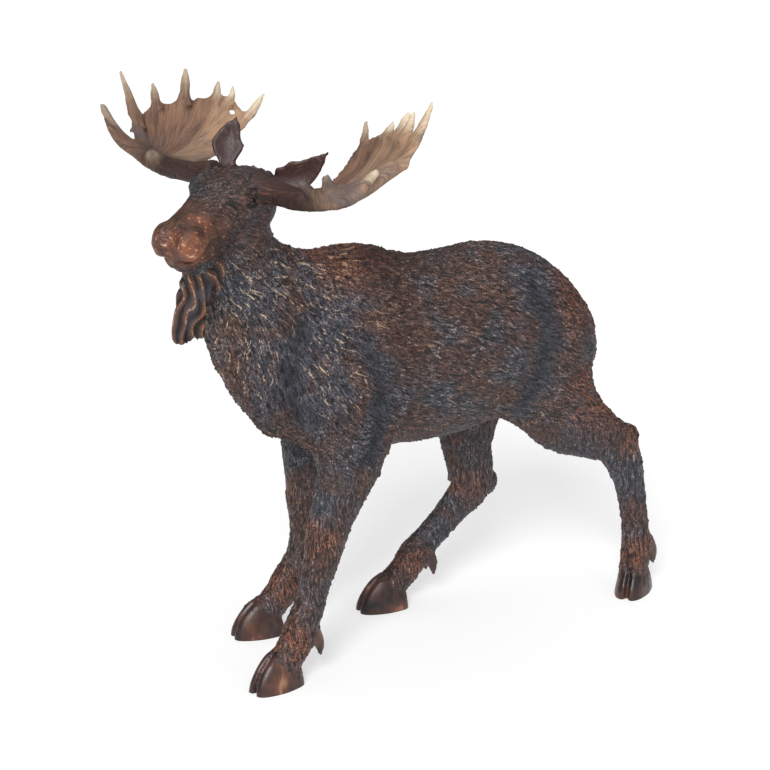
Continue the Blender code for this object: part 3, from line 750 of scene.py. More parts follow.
def antler(bm, frame, side):
    turn = frame.to_3x3()

    def spike(points, halves):
        """A tine or beam through points, with its half width across the palm and its half thickness."""
        spots = [frame @ at(side * point[0], point[1], point[2]) for point in points]
        across = (spots[-1] - spots[0]).cross(turn @ Vector((0, 0, 1)))
        rows = [(spot.x, -spot.y, spot.z, wide, thick) for spot, (wide, thick) in zip(spots, halves)]
        tube(bm, rows, across, sides=16)

    spike([row[:3] for row in BEAM[side]], [(row[3], row[3]) for row in BEAM[side]])
    palm(bm, frame, side)
    for root, tip, half in TINES[side]:
        root, tip = np.array(root), np.array(tip)
        bend = np.array((0, -0.004, -0.008))
        points = [mix(root, tip, -0.14), mix(root, tip, 0.30) + bend, mix(root, tip, 0.7) + bend * 0.7, tip]
        spike(points, ((half * 1.25, 0.0055), (half * 0.74, 0.0100), (half * 0.44, 0.0090), (0.0045, 0.0045)))
    for *points, half in BROW_TINES[side]:
        spike(points, ((half, half), (half * 0.85, half * 0.8), (0.007, 0.007)))


def bell(bm):
    for rows in BELL:
        tube(bm, [(*row, row[3] * 1.25) for row in rows], Vector((1, 0, 0)), sides=16)


def build_mesh():
    """All the forms as closed skins in one mesh, in metres."""
    bm = bmesh.new()
    frame = head_frame()
    torso(bm)
    tube(bm, NECK, Vector((1, 0, 0)))
    muscles(bm)
    hocks(bm)
    legs(bm)
    head(bm, frame)
    for side in (1, -1):
        ear(bm, frame, side)
        antler(bm, frame, side)
    bell(bm)
    bmesh.ops.recalc_face_normals(bm, faces=bm.faces[:])
    bmesh.ops.scale(bm, vec=(WITHERS_HEIGHT,) * 3, verts=bm.verts[:])
    mesh = bpy.data.meshes.new("moose")
    bm.to_mesh(mesh)
    bm.free()
    return mesh


def apply(obj, kind, **settings):
    modifier = obj.modifiers.new(kind.lower(), kind)
    for name, value in settings.items():
        setattr(modifier, name, value)
    graph = bpy.context.evaluated_depsgraph_get()
    mesh = bpy.data.meshes.new_from_object(obj.evaluated_get(graph))
    obj.modifiers.clear()
    obj.data = mesh


def points_of(mesh):
    flat = np.empty(len(mesh.vertices) * 3, np.float32)
    mesh.vertices.foreach_get("co", flat)
    return flat.reshape(-1, 3).astype(float)


def normals_of(mesh):
    flat = np.empty(len(mesh.vertices) * 3, np.float32)
    mesh.vertices.foreach_get("normal", flat)
    return flat.reshape(-1, 3).astype(float)


def set_points(mesh, points):
    mesh.vertices.foreach_set("co", points.astype(np.float32).ravel())
    mesh.update()


def smooth(mesh, rounds, share, back=0.0):
    """Evens the skin where forms meet. share is each point's part, and back undoes the shrinking."""
    points = points_of(mesh)
    ends = np.empty(len(mesh.edges) * 2, np.int32)
    mesh.edges.foreach_get("vertices", ends)
    a, b = ends.reshape(-1, 2).T
    count = np.bincount(ends, minlength=len(points))[:, None]
    share = share[:, None]
    for step in range(rounds):
        total = [
            np.bincount(a, points[b, k], len(points)) + np.bincount(b, points[a, k], len(points))
            for k in range(3)]
        total = np.stack(total, axis=1)
        points += (-back * share if back and step % 2 else share) * (total / count - points)
    set_points(mesh, points)


def ramp(low, high, value):
    t = np.clip((value - low) / (high - low), 0, 1)
    return t * t * (3 - 2 * t)


def body_share(mesh):
    """1 on the barrel, neck and thighs, where muscles blend, and 0 on head, antlers, bell and shins."""
    left, back, up = (points_of(mesh) / WITHERS_HEIGHT).T
    forward = -back
    bell_keep = ramp(0.49, 0.52, forward) * ramp(0.80, 0.84, up)
    return 0.5 * ramp(0.40, 0.56, up) * (1 - ramp(0.99, 1.07, up)) * (1 - bell_keep)


def press(points, normals, spot, radius, depth):
    """Pushes the skin in around one spot."""
    near = np.linalg.norm(points - np.array(spot), axis=1)
    return points - normals * (depth * np.clip(1 - (near / radius) ** 2, 0, 1) ** 1.5)[:, None]


def face(mesh):
    """Nostrils, the hollows before and behind each eye, and the line of the mouth."""
    points = points_of(mesh) / WITHERS_HEIGHT
    normals = normals_of(mesh)
    frame = head_frame()
    for side in (1, -1):
        for out, forward, up, radius, depth in DENTS:
            points = press(points, normals, frame @ at(side * out, forward, up), radius, depth)
        line = [frame @ at(side * out, forward, up) for out, forward, up in curve(MOUTH, 6)]
        gap = np.min([np.linalg.norm(points - np.array(spot), axis=1) for spot in line], axis=0)
        points -= normals * (MOUTH_DEPTH * np.clip(1 - (gap / MOUTH_HALF_WIDTH) ** 2, 0, 1))[:, None]
    set_points(mesh, points * WITHERS_HEIGHT)


def flow(place):
    """The way the coat lies, from left, forward and up of a point of the body, in the same shares."""
    left, forward, up = place
    neck = ramp(0.22, 0.38, forward) * ramp(0.55, 0.75, up)
    leg = 1 - ramp(0.44, 0.58, up)
    haunch = (1 - ramp(-0.44, -0.26, forward)) * (1 - leg)
    lie = np.array((0.0, -1.0, -0.42))
    lie = mix(lie, np.array((0.0, -0.45, -1.0)), neck)
    lie = mix(lie, np.array((0.0, -0.55, -0.9)), haunch)
    return mix(lie, np.array((0.0, 0.0, -1.0)), leg)


def locks(mesh):
    """Raises the long locks of the mane, chest and thighs, each a leaf that lifts towards its tip."""
    points = points_of(mesh) / WITHERS_HEIGHT
    normals = normals_of(mesh)
    lift = np.zeros(len(points))
    rng = np.random.default_rng(LOCK_SEED)
    for seed in rng.permutation(len(points)):
        left, forward, up = points[seed] * (1, -1, 1)
        mane = ramp(0.06, 0.20, forward) * ramp(0.52, 0.66, up) * (1 - ramp(1.04, 1.10, up))
        thigh = 0.5 * (1 - ramp(-0.46, -0.34, forward)) * ramp(0.50, 0.60, up) * (1 - ramp(0.78, 0.90, up))
        if forward > 0.50 or rng.random() > LOCK_CHANCE * max(mane, thigh):
            continue
        normal = normals[seed]
        lie = flow((left, forward, up)) * (1, -1, 1)
        lie = lie - normal * (lie @ normal)
        lie /= np.linalg.norm(lie)
        across = np.cross(normal, lie)
        near = points - points[seed]
        along, aside = near @ lie / LOCK_LENGTH, near @ across / LOCK_HALF_WIDTH
        inside = (along > 0) & (along < 1) & (abs(near @ normal) < LOCK_HALF_WIDTH * 2) & (abs(aside) < 1)
        along, aside = along[inside], aside[inside] / (1.05 - 0.55 * along[inside])
        leaf = np.clip(1 - aside**2, 0, 1) * along * (1 - ramp(0.82, 1.0, along))
        lift[inside] = np.maximum(lift[inside], LOCK_LIFT * leaf)
    set_points(mesh, (points + normals * lift[:, None]) * WITHERS_HEIGHT)


def flat_soles(obj):
    """Cuts the hooves off level, so the statue stands on four flat soles."""
    bm = bmesh.new()
    bm.from_mesh(obj.data)
    cut = bmesh.ops.bisect_plane(
        bm, geom=bm.verts[:] + bm.edges[:] + bm.faces[:], plane_co=(0, 0, 0), plane_no=(0, 0, 1),
        clear_inner=True,
    )
    rim = [item for item in cut["geom_cut"] if isinstance(item, bmesh.types.BMEdge)]
    bmesh.ops.edgeloop_fill(bm, edges=rim)
    bm.to_mesh(obj.data)
    bm.free()


def labelled_points():
    """Points of the forms before they are joined, each with the name of its form, for the masks."""
    frame_of_head = head_frame()
    found = []

    def take(name, make, *arguments):
        bm = bmesh.new()
        make(bm, *arguments)
        found.extend((name, vertex.co * WITHERS_HEIGHT) for vertex in bm.verts)
        bm.free()

    take("coat", torso)
    take("coat", tube, NECK, Vector((1, 0, 0)))
    take("coat", head, frame_of_head)
    take("bell", bell)
    for name, rows in LEGS.items():
        take("coat", tube, rows, Vector((1, 0, 0)))
        take("hoof", dewclaws, name)
    for left, forward, turn_out in HOOVES.values():
        take("hoof", hoof, left, forward, turn_out)
    for side in (1, -1):
        take("ear", ear, frame_of_head, side)
        take("antler", antler, frame_of_head, side)
    return found


def set_layer(mesh, name, values):
    """Keeps a number or a vector for each point of the skin, which the paint reads."""
    kind, field = ("FLOAT", "value") if values.ndim == 1 else ("FLOAT_VECTOR", "vector")
    layer = mesh.attributes.get(name) or mesh.attributes.new(name, kind, "POINT")
    layer.data.foreach_set(field, values.astype(np.float32).ravel())


def layer_of(mesh, name):
    values = np.empty(len(mesh.vertices), np.float32)
    mesh.attributes[name].data.foreach_get("value", values)
    return values.astype(float)


def even(mesh, values, rounds):
    """Softens the edge of a mask along the skin."""
    ends = np.empty(len(mesh.edges) * 2, np.int32)
    mesh.edges.foreach_get("vertices", ends)
    a, b = ends.reshape(-1, 2).T
    count = np.bincount(ends, minlength=len(values))
    for step in range(rounds):
        values = (np.bincount(a, values[b], len(values)) + np.bincount(b, values[a], len(values))) / count
    return values


def mask_forms(mesh):
    """Masks of the antlers, ears, bell and hooves, from the form that lies nearest to each point."""
    labelled = labelled_points()
    tree = KDTree(len(labelled))
    for index, (name, place) in enumerate(labelled):
        tree.insert(place, index)
    tree.balance()
    nearest = [labelled[tree.find(vertex.co)[1]][0] for vertex in mesh.vertices]
    nearest = np.array(nearest)
    for name in ("antler", "ear", "bell", "hoof"):
        set_layer(mesh, name, even(mesh, (nearest == name).astype(float), 3))


def head_places(points):
    """Points of the figure in the head's own frame, as columns outward, forward and up."""
    inverse = np.array(head_frame().inverted())
    local = points @ inverse[:3, :3].T + inverse[:3, 3]
    return local[:, 0], -local[:, 1], local[:, 2]


def soft_noise(points, size):
    """Smooth noise from -1 to 1 with lumps of about that size."""
    return np.array([noise.noise(place) for place in (points / size).tolist()])


def bump_eyes(points, normals, dark):
    """Lids, the groove inside them and the ball of each eye. dark marks the ball."""
    out, forward, up = head_places(points)
    for side in (1, -1):
        along = (forward - EYE_PLACE[1]) / EYE_HALF[0]
        high = (up - EYE_PLACE[2] - 0.10 * (forward - EYE_PLACE[1])) / EYE_HALF[1]
        reach = np.hypot(along, high)
        near = (side * out > 0.045) & (reach < 2.4)
        ball = np.clip(1 - (reach / 0.78) ** 2, 0, 1) ** 0.5
        groove = np.exp(-((reach - 0.86) / 0.16) ** 2)
        lid = np.exp(-((reach - 1.30) / 0.30) ** 2)
        lift = 0.0045 * ball - 0.0035 * groove + 0.0042 * lid
        points += normals * np.where(near, lift, 0)[:, None]
        dark[near] = np.maximum(dark[near], ramp(1.0, 0.80, reach[near]))


def press_nostrils(points, normals, dark):
    """Two shallow nostrils with a raised rim. dark marks the hollow, which is painted near black as shade."""
    out, forward, up = head_places(points)
    across, ahead, above, radius, depth = NOSTRIL
    for side in (1, -1):
        squares = (side * out - across) ** 2 + ((forward - ahead) * 0.8) ** 2 + ((up - above) * 1.25) ** 2
        reach = np.sqrt(squares) / radius
        hole = np.clip(1 - reach**2, 0, 1) ** 0.8
        rim = np.exp(-((reach - 1.35) / 0.28) ** 2)
        points += normals * (NOSTRIL_RIM * rim - depth * hole)[:, None]
        # Painted shade: the nostrils' hollows are marked for the eyes' near black.
        dark[:] = np.maximum(dark, 0.9 * ramp(0.9, 0.5, reach))


def press_mouth(points, normals):
    """The line of the mouth from the chin back to the cheek, with a full lower lip. The slot that comes back
    is painted dark as shade.
    """
    turned = head_frame()
    line = [turned @ at(side * out, ahead, up) for side in (1, -1) for out, ahead, up in curve(MOUTH, 14)]
    gap = np.min([np.linalg.norm(points - np.array(spot), axis=1) for spot in line], axis=0)
    slot = np.exp(-((gap / SLOT_HALF_WIDTH) ** 2))
    lip = np.exp(-(((gap - LIP_PLACE) / LIP_HALF_WIDTH) ** 2))
    points -= normals * (SLOT_DEPTH * slot - LIP_LIFT * lip)[:, None]
    return slot


def cleft_hooves(points, normals):
    """The cleft between the two toes of each hoof, deepest at the front."""
    for left, forward, turn_out in HOOVES.values():
        turn = math.radians(turn_out)
        x, y = points[:, 0] - left, points[:, 1] + forward
        across = x * math.cos(turn) + y * math.sin(turn)
        ahead = x * math.sin(turn) - y * math.cos(turn)
        near = np.hypot(x, y) < CLEFT_REACH
        front = ramp(-0.03, 0.035, ahead) * (1 - ramp(0.075, 0.095, points[:, 2]))
        slot = np.exp(-((across / CLEFT_HALF_WIDTH) ** 2)) * front
        points -= normals * np.where(near, CLEFT_DEPTH * slot, 0)[:, None]


def ease_tine_roots(mesh):
    """Fillets where the tines leave the palms, so that no step shows."""
    points = points_of(mesh) / WITHERS_HEIGHT
    turned = head_frame()
    share = np.zeros(len(points))
    for side in (1, -1):
        for root, tip, half in TINES[side]:
            out, forward, up = mix(np.array(root), np.array(tip), ROOT_SHARE)
            gap = np.linalg.norm(points - np.array(turned @ at(side * out, forward, up)), axis=1)
            share = np.maximum(share, 1 - ramp(half * 0.8, half * 1.6, gap))
    smooth(mesh, ROOT_ROUNDS, share * 0.5)


def press_creases(points, normals):
    """The hollows behind the shoulder, before the haunch and along the thigh. Their mask comes back for the
    painted shade laid in them.
    """
    left, back, up = points.T
    shade = np.zeros(len(points))
    for line, width, depth in CREASES:
        spots = np.array([(forward, height) for forward, height in curve(line, 8)])
        gap = np.min([np.hypot(-back - forward, up - height) for forward, height in spots], axis=0)
        hollow = np.exp(-((gap / width) ** 2)) * ramp(0.02, 0.06, np.abs(left))
        points -= normals * (depth * hollow)[:, None]
        shade = np.maximum(shade, hollow)
    return shade


def wave_bell(points, normals, bell_mask):
    """Long locks that sway down the dewlap. The waves come back for the paint, 0 to 1."""
    width, sway, often, depth = BELL_WAVES
    left, back, up = points.T
    across = left * 0.55 + back * 0.85 + sway * np.sin((up - 0.85) * often + 1.2)
    across += 0.014 * soft_noise(points, 0.045)
    wave = (0.5 + 0.5 * np.cos(across / width * 2 * math.pi)) ** 0.7
    wave = wave * 0.8 + 0.2 * (0.5 + 0.5 * np.cos(across / width * 6 * math.pi))
    points += normals * ((wave - 0.6) * depth * bell_mask)[:, None]
    return wave


def antler_fan(points):
    """How the grain of the antlers runs: the angle round the root of the palm, and the distance from it."""
    out, forward, up = head_places(points)
    aside, back = np.abs(out) - FAN_ROOT[0], -(forward + FAN_ROOT[1])
    angle = np.arctan2(aside, back)
    return np.stack([angle * 0.25 * np.sign(out), np.hypot(aside, back), up * 0.3], axis=1)


def groove_antlers(points, normals, antler_mask, fan):
    """Long shallow grooves that fan out over the palms and run down the tines."""
    across = fan * (1, 0.10, 0.3)
    ribs = soft_noise(across, 0.016) + 0.6 * soft_noise(across + 3.0, 0.007)
    points += normals * (GROOVE_DEPTH * ribs * antler_mask)[:, None]
    return ribs


def lie_of(points, bell_mask, ear_mask):
    """The way the coat lies at each point, along the skin's own axes, before it is laid flat."""
    left, back, up = points.T
    forward = -back
    out, ahead, above = head_places(points)

    def towards(*way):
        return np.tile(np.array(way, float) * (1, -1, 1), (len(points), 1))

    def blend(a, b, share):
        return a + (b - a) * share[:, None]

    neck = ramp(0.20, 0.38, forward) * ramp(0.55, 0.75, up)
    crest = ramp(0.88, 0.98, up) * ramp(0.0, 0.2, forward)
    haunch = 1 - ramp(-0.46, -0.26, forward)
    shoulder = ramp(0.02, 0.12, forward) * (1 - ramp(0.26, 0.36, forward)) * (1 - ramp(0.62, 0.80, up))
    lie = towards(0, -1, -0.40)
    lie = blend(lie, towards(0, -0.62, -0.95), shoulder)
    lie = blend(lie, towards(0, -0.24, -1), neck)
    lie = blend(lie, towards(0, -1, -0.50), crest * (1 - ramp(1.04, 1.12, up)))
    lie = blend(lie, towards(0, -0.55, -0.9), haunch)
    lie = blend(lie, towards(0, -0.12, -1), 1 - ramp(0.46, 0.58, up))
    turned = np.array(head_frame().to_3x3())
    along_head = turned @ np.array((0, 1, -0.25))
    on_head = ramp(1.02, 1.10, up) * ramp(-0.17, -0.12, ahead)
    lie = blend(lie, np.tile(along_head, (len(points), 1)), on_head)
    lie = blend(lie, towards(-0.1, 0.25, -1), bell_mask)
    along_ears = np.where(out[:, None] > 0, turned @ np.array(EAR_WAYS[1]), turned @ np.array(EAR_WAYS[-1]))
    lie = blend(lie, along_ears, ear_mask)
    return lie


class Strokes:
    """Ridges that lie on the skin like locks of hair, lifting towards their tips."""

    def __init__(self, points, normals, tree):
        self.points = points
        self.normals = normals
        self.tree = tree
        self.lift = np.zeros(len(points))
        self.ridge = np.zeros(len(points))
        self.crest = np.zeros(len(points))
        self.tone = np.full(len(points), 0.5)

    def lay(self, seeds, *shapes):
        """Lays one stroke from each seed, a portion at a time, so that little memory is held."""
        for start in range(0, len(seeds), PORTION):
            portion = slice(start, start + PORTION)
            self.lay_portion(seeds[portion], *(values[portion] for values in shapes))

    def lay_portion(self, seeds, ways, long, half, lift, bend, tones):
        """Strokes along their ways, with their length, half width, lift, bend and tone, all in shares."""
        normals = self.normals[seeds]
        ways = ways - normals * (ways * normals).sum(axis=1)[:, None]
        ways /= np.linalg.norm(ways, axis=1)[:, None] + 1e-9
        across = np.cross(normals, ways)
        middles = self.points[seeds] + ways * (long / 2)[:, None]
        pairs = []
        for number, (middle, reach) in enumerate(zip(middles.tolist(), (long / 2 + half).tolist())):
            pairs.extend((number, hit[1]) for hit in self.tree.find_range(middle, reach))
        which, point = np.array(pairs).T
        near = self.points[point] - self.points[seeds[which]]
        along = (near * ways[which]).sum(axis=1) / long[which]
        aside = (near * across[which]).sum(axis=1)
        aside = aside - bend[which] * long[which] * along * along
        taper = np.clip(1.10 - 0.75 * along, 0.2, 1) * np.clip(0.45 + 3 * along, 0, 1)
        aside = aside / (half[which] * np.maximum(taper, 0.01))
        depth = np.abs((near * normals[which]).sum(axis=1))
        facing = (self.normals[point] * normals[which]).sum(axis=1)
        inside = (along > 0) & (along < 1) & (np.abs(aside) < 1) & (depth < 4 * half[which]) & (facing > 0.3)
        which, point, along, aside = which[inside], point[inside], along[inside], aside[inside]
        shape = (1 - aside**2) * along**0.6 * (1 - ramp(0.84, 1.0, along))
        high = lift[which] * shape
        order = np.argsort(high, kind="stable")
        which, point, high, shape = which[order], point[order], high[order], shape[order]
        along, aside = along[order], aside[order]
        top = np.zeros(len(self.points))
        top[point] = high
        self.lift += top
        self.ridge[point] = shape
        self.crest[point] = np.clip(1 - (aside / 0.75) ** 2, 0, 1) * ramp(0.15, 0.45, along)
        self.tone[point] = tones[which]


def carve_fur(points, normals, masks, settings):
    """Strands of the mane first, then short strokes over the coat, but none on ears and dewlap."""
    tree = KDTree(len(points))
    for index, place in enumerate(points.tolist()):
        tree.insert(place, index)
    tree.balance()
    strokes = Strokes(points, normals, tree)
    rng = np.random.default_rng(settings.seed)
    left, back, up = points.T
    forward = -back
    out, ahead, above = head_places(points)
    coat = (1 - masks["antler"]) * (1 - masks["hoof"])
    on_face = ramp(1.02, 1.08, up) * ramp(-0.14, -0.08, ahead)
    on_face = on_face * (1 - masks["ear"]) * (1 - masks["bell"]) * coat
    smooth_face = on_face * ramp(0.085, 0.150, ahead)
    mane = ramp(0.04, 0.18, forward) * ramp(0.58, 0.72, up) * (1 - on_face) * coat
    leg = 1 - ramp(0.42, 0.56, up)
    lie = lie_of(points, masks["bell"], masks["ear"])
    unit = WITHERS_HEIGHT

    def sow(chance, count):
        """Seeds spread by chance, in a random order."""
        total = np.cumsum(chance)
        return np.unique(np.searchsorted(total, rng.random(count) * total[-1]))

    def spread(seeds, angle):
        """The lie at each seed, turned a little at random about the skin."""
        turn = rng.normal(0, angle, len(seeds))[:, None]
        side = np.cross(normals[seeds], lie[seeds])
        return lie[seeds] * np.cos(turn) + side * np.sin(turn)

    seeds = rng.permutation(sow(mane, settings.strand_count))
    size = rng.uniform(0.75, 1.3, len(seeds))
    strokes.lay(
        seeds, spread(seeds, 0.15), size * settings.strand_length / unit,
        size * settings.strand_half_width / unit, settings.strand_lift / unit * size,
        rng.normal(0, 0.12, len(seeds)), rng.random(len(seeds)))
    chance = coat * (1 - smooth_face) * (1 - 0.70 * mane) * (1 - masks["bell"]) * (1 - masks["ear"])
    seeds = rng.permutation(sow(chance, settings.stroke_count))
    shorter = 1 - 0.45 * on_face[seeds] - 0.20 * leg[seeds]
    size = rng.uniform(0.7, 1.35, len(seeds))
    strokes.lay(
        seeds, spread(seeds, 0.30), size * shorter * settings.stroke_length / unit,
        settings.stroke_half_width / unit * (0.85 + 0.3 * rng.random(len(seeds))),
        settings.stroke_lift / unit * size * (1 - 0.75 * on_face[seeds]), rng.normal(0, 0.10, len(seeds)),
        rng.random(len(seeds)))
    strokes.lift *= (1 - masks["ear"]) * (1 - masks["bell"])
    return strokes, on_face, mane, leg


def tine_share(points):
    """1 on the outer part of every tine."""
    turned = head_frame()
    share = np.zeros(len(points))
    for side in (1, -1):
        ends = [(root, tip) for root, tip, half in TINES[side]]
        ends += [(row[0], row[-2]) for row in BROW_TINES[side]]
        for root, tip in ends:
            for part in TINE_SHARES:
                out, forward, up = mix(np.array(root), np.array(tip), part)
                gap = np.linalg.norm(points - np.array(turned @ at(side * out, forward, up)), axis=1)
                share = np.maximum(share, part * (1 - ramp(*TINE_REACH, gap)))
    return share


def beam_share(points):
    """1 on the beams close to the head, and 0 on the palms and tines."""
    out, forward, up = head_places(points)
    return (1 - ramp(0.17, 0.25, np.abs(out))) * ramp(-0.13, -0.09, forward)


def inside_ears(points, normals):
    """1 where the skin of an ear faces the same way as its hollow."""
    turned = np.array(head_frame().to_3x3())
    out = head_places(points)[0]
    facing = [turned @ np.array(at(*EARS[side][3])) for side in (1, -1)]
    return ramp(0.2, 0.6, (normals * np.where(out[:, None] > 0, *facing)).sum(axis=1))


def copper_share(points):
    left, back, up = points.T
    share = np.zeros(len(points))
    for across, forward, height, radius in COPPER_SPOTS:
        gap = np.sqrt((np.abs(left) - across) ** 2 + (back + forward) ** 2 + (up - height) ** 2)
        share = np.maximum(share, 1 - ramp(0.35, 1.0, gap / radius))
    return share


def carve_figure(settings):
    """The whole skin with its carving, and the masks that the paint reads."""
    figure = bpy.data.objects.new("figure", build_mesh())
    bpy.context.scene.collection.objects.link(figure)
    apply(figure, "REMESH", mode="VOXEL", voxel_size=settings.mesh_step, adaptivity=0.0)
    smooth(figure.data, 100, body_share(figure.data))
    smooth(figure.data, 20, np.full(len(figure.data.vertices), 0.4), 1.0)
    ease_tine_roots(figure.data)
    face(figure.data)
    locks(figure.data)
    mask_forms(figure.data)
    apply(figure, "SUBSURF", levels=1, render_levels=1)
    mesh = figure.data
    masks = {name: layer_of(mesh, name) for name in ("antler", "ear", "bell", "hoof")}
    points, normals = points_of(mesh) / WITHERS_HEIGHT, normals_of(mesh)
    dark = np.zeros(len(points))
    bump_eyes(points, normals, dark)
    press_nostrils(points, normals, dark)
    mouth = press_mouth(points, normals)
    cleft_hooves(points, normals)
    # The creases' mask, for the painted shade in them.
    crease_shade = press_creases(points, normals)
    wave = wave_bell(points, normals, masks["bell"])
    fan = antler_fan(points)
    ribs = groove_antlers(points, normals, masks["antler"], fan)
    set_points(mesh, points * WITHERS_HEIGHT)
    normals = normals_of(mesh)
    strokes, face_mask, mane, leg = carve_fur(points, normals, masks, settings)
    points = points + normals * strokes.lift[:, None]
    set_points(mesh, points * WITHERS_HEIGHT)
    for name, values in (
        ("ridge", strokes.ridge), ("crest", strokes.crest), ("tone", strokes.tone), ("dark", dark),
        ("face", face_mask), ("mane", mane), ("leg", leg), ("copper", copper_share(points)),
        ("crease_shade", crease_shade), ("wave", wave), ("mouth", mouth), ("fan", fan), ("rib", ribs),
        ("inside", inside_ears(points, normals)), ("beam", beam_share(points)), ("tine", tine_share(points)),
    ):
        set_layer(mesh, name, values)
    out, forward, up = head_places(points)
    set_layer(mesh, "muzzle", face_mask * ramp(0.04, 0.15, forward))
    return figure


def fit_to_solid(mesh):
    """Brings the skin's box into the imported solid's box, with the soles on the ground."""
    points = points_of(mesh)
    low, high = points.min(axis=0), points.max(axis=0)
    size = np.array(CAD_HIGH) - np.array(CAD_LOW)
    scale = np.minimum(1, size / (high - low))
    middle = (low + high) / 2
    target = (np.array(CAD_HIGH) + np.array(CAD_LOW)) / 2
    target[2] = CAD_LOW[2] + (middle[2] - low[2]) * scale[2]
    set_points(mesh, (points - middle) * scale + target)
    return target - middle


def part_skin(figure):
    """Cuts the skin along flat planes and numbers each face with the piece that it belongs to."""
    mesh = figure.data
    bm = bmesh.new()
    bm.from_mesh(mesh)
    bm.faces.ensure_lookup_table()
    spots = np.array([face_.calc_center_median()[:] for face_ in bm.faces]) / WITHERS_HEIGHT
    out, ahead, above = head_places(spots)
    left, back, up = spots.T
    turned = head_frame()
    side_way = turned.to_3x3() @ Vector((1, 0, 0))
    beams = (ahead > EAR_FRONT) & (up > 1)
    cuts = (
        (turned @ at(BEAM_CUT, 0, 0), side_way, (abs(out - BEAM_CUT) < NEAR_CUT) & beams),
        (turned @ at(-BEAM_CUT, 0, 0), side_way, (abs(out + BEAM_CUT) < NEAR_CUT) & beams),
        (at(0, 0, NECK_CUT), Vector((0, 0, 1)), (abs(up - NECK_CUT) < NEAR_CUT) & (-back < BELL_BACK)),
        (at(0, BARREL_CUT, 0), Vector((0, 1, 0)), (abs(-back - BARREL_CUT) < NEAR_CUT) & (up > LEG_CUT)),
        (at(0, 0, LEG_CUT), Vector((0, 0, 1)), abs(up - LEG_CUT) < NEAR_CUT),
    )
    chosen = [[bm.faces[index] for index in np.nonzero(near)[0]] for *_, near in cuts]
    for (place, way, _), faces in zip(cuts, chosen):
        edges = {edge for face_ in faces for edge in face_.edges}
        verts = {vertex for face_ in faces for vertex in face_.verts}
        bmesh.ops.bisect_plane(
            bm, geom=[*verts, *edges, *faces], dist=1e-6, plane_co=place * WITHERS_HEIGHT, plane_no=way)
    bm.to_mesh(mesh)
    bm.free()
    number_faces(mesh)


def number_faces(mesh):
    """Numbers each face with the place of its piece in PIECES, as its material index."""
    spots = np.empty(len(mesh.polygons) * 3, np.float32)
    mesh.polygons.foreach_get("center", spots)
    spots = spots.reshape(-1, 3).astype(float) / WITHERS_HEIGHT
    out, ahead, above = head_places(spots)
    left, back, up = spots.T
    forward = -back
    first = np.array([polygon.vertices[0] for polygon in mesh.polygons])
    is_ear = layer_of(mesh, "ear")[first] > 0.5
    on_head = (up > NECK_CUT) | ((forward > BELL_BACK) & (up > 0.80))
    on_antler = on_head & (np.abs(out) > BEAM_CUT) & ~is_ear & (up > 1.02)
    on_leg = up < LEG_CUT
    fore = forward > LEGS_MIDDLE
    number = np.where(forward > BARREL_CUT, PIECES.index("forequarter"), PIECES.index("hindquarter"))
    number[on_leg & fore & (left > 0)] = PIECES.index("fore_leg_left")
    number[on_leg & fore & (left <= 0)] = PIECES.index("fore_leg_right")
    number[on_leg & ~fore & (left > 0)] = PIECES.index("hind_leg_left")
    number[on_leg & ~fore & (left <= 0)] = PIECES.index("hind_leg_right")
    number[on_head] = PIECES.index("head")
    number[on_antler & (out > 0)] = PIECES.index("antler_left")
    number[on_antler & (out < 0)] = PIECES.index("antler_right")
    mesh.polygons.foreach_set("material_index", number.astype(np.int32))


def take_piece(figure, name, material):
    """One closed piece of the skin, with flat caps where it was parted and the whole skin's shading."""
    bm = bmesh.new()
    bm.from_mesh(figure.data)
    number = PIECES.index(name)
    others = [face_ for face_ in bm.faces if face_.material_index != number]
    bmesh.ops.delete(bm, geom=others, context="FACES")
    rims = [edge for edge in bm.edges if edge.is_boundary]
    bmesh.ops.holes_fill(bm, edges=rims, sides=0)
    for face_ in bm.faces:
        face_.material_index = 0
        face_.smooth = True
    mesh = bpy.data.meshes.new(name)
    bm.to_mesh(mesh)
    bm.free()
    shading = np.empty(len(mesh.vertices) * 3, np.float32)
    mesh.attributes["skin_normal"].data.foreach_get("vector", shading)
    mesh.normals_split_custom_set_from_vertices(shading.reshape(-1, 3).tolist())
    mesh.attributes.remove(mesh.attributes["skin_normal"])
    mesh.materials.append(material)
    piece = bpy.data.objects.new(name, mesh)
    bpy.context.scene.collection.objects.link(piece)
    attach(piece, "root")
    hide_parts("moose")
    return piece


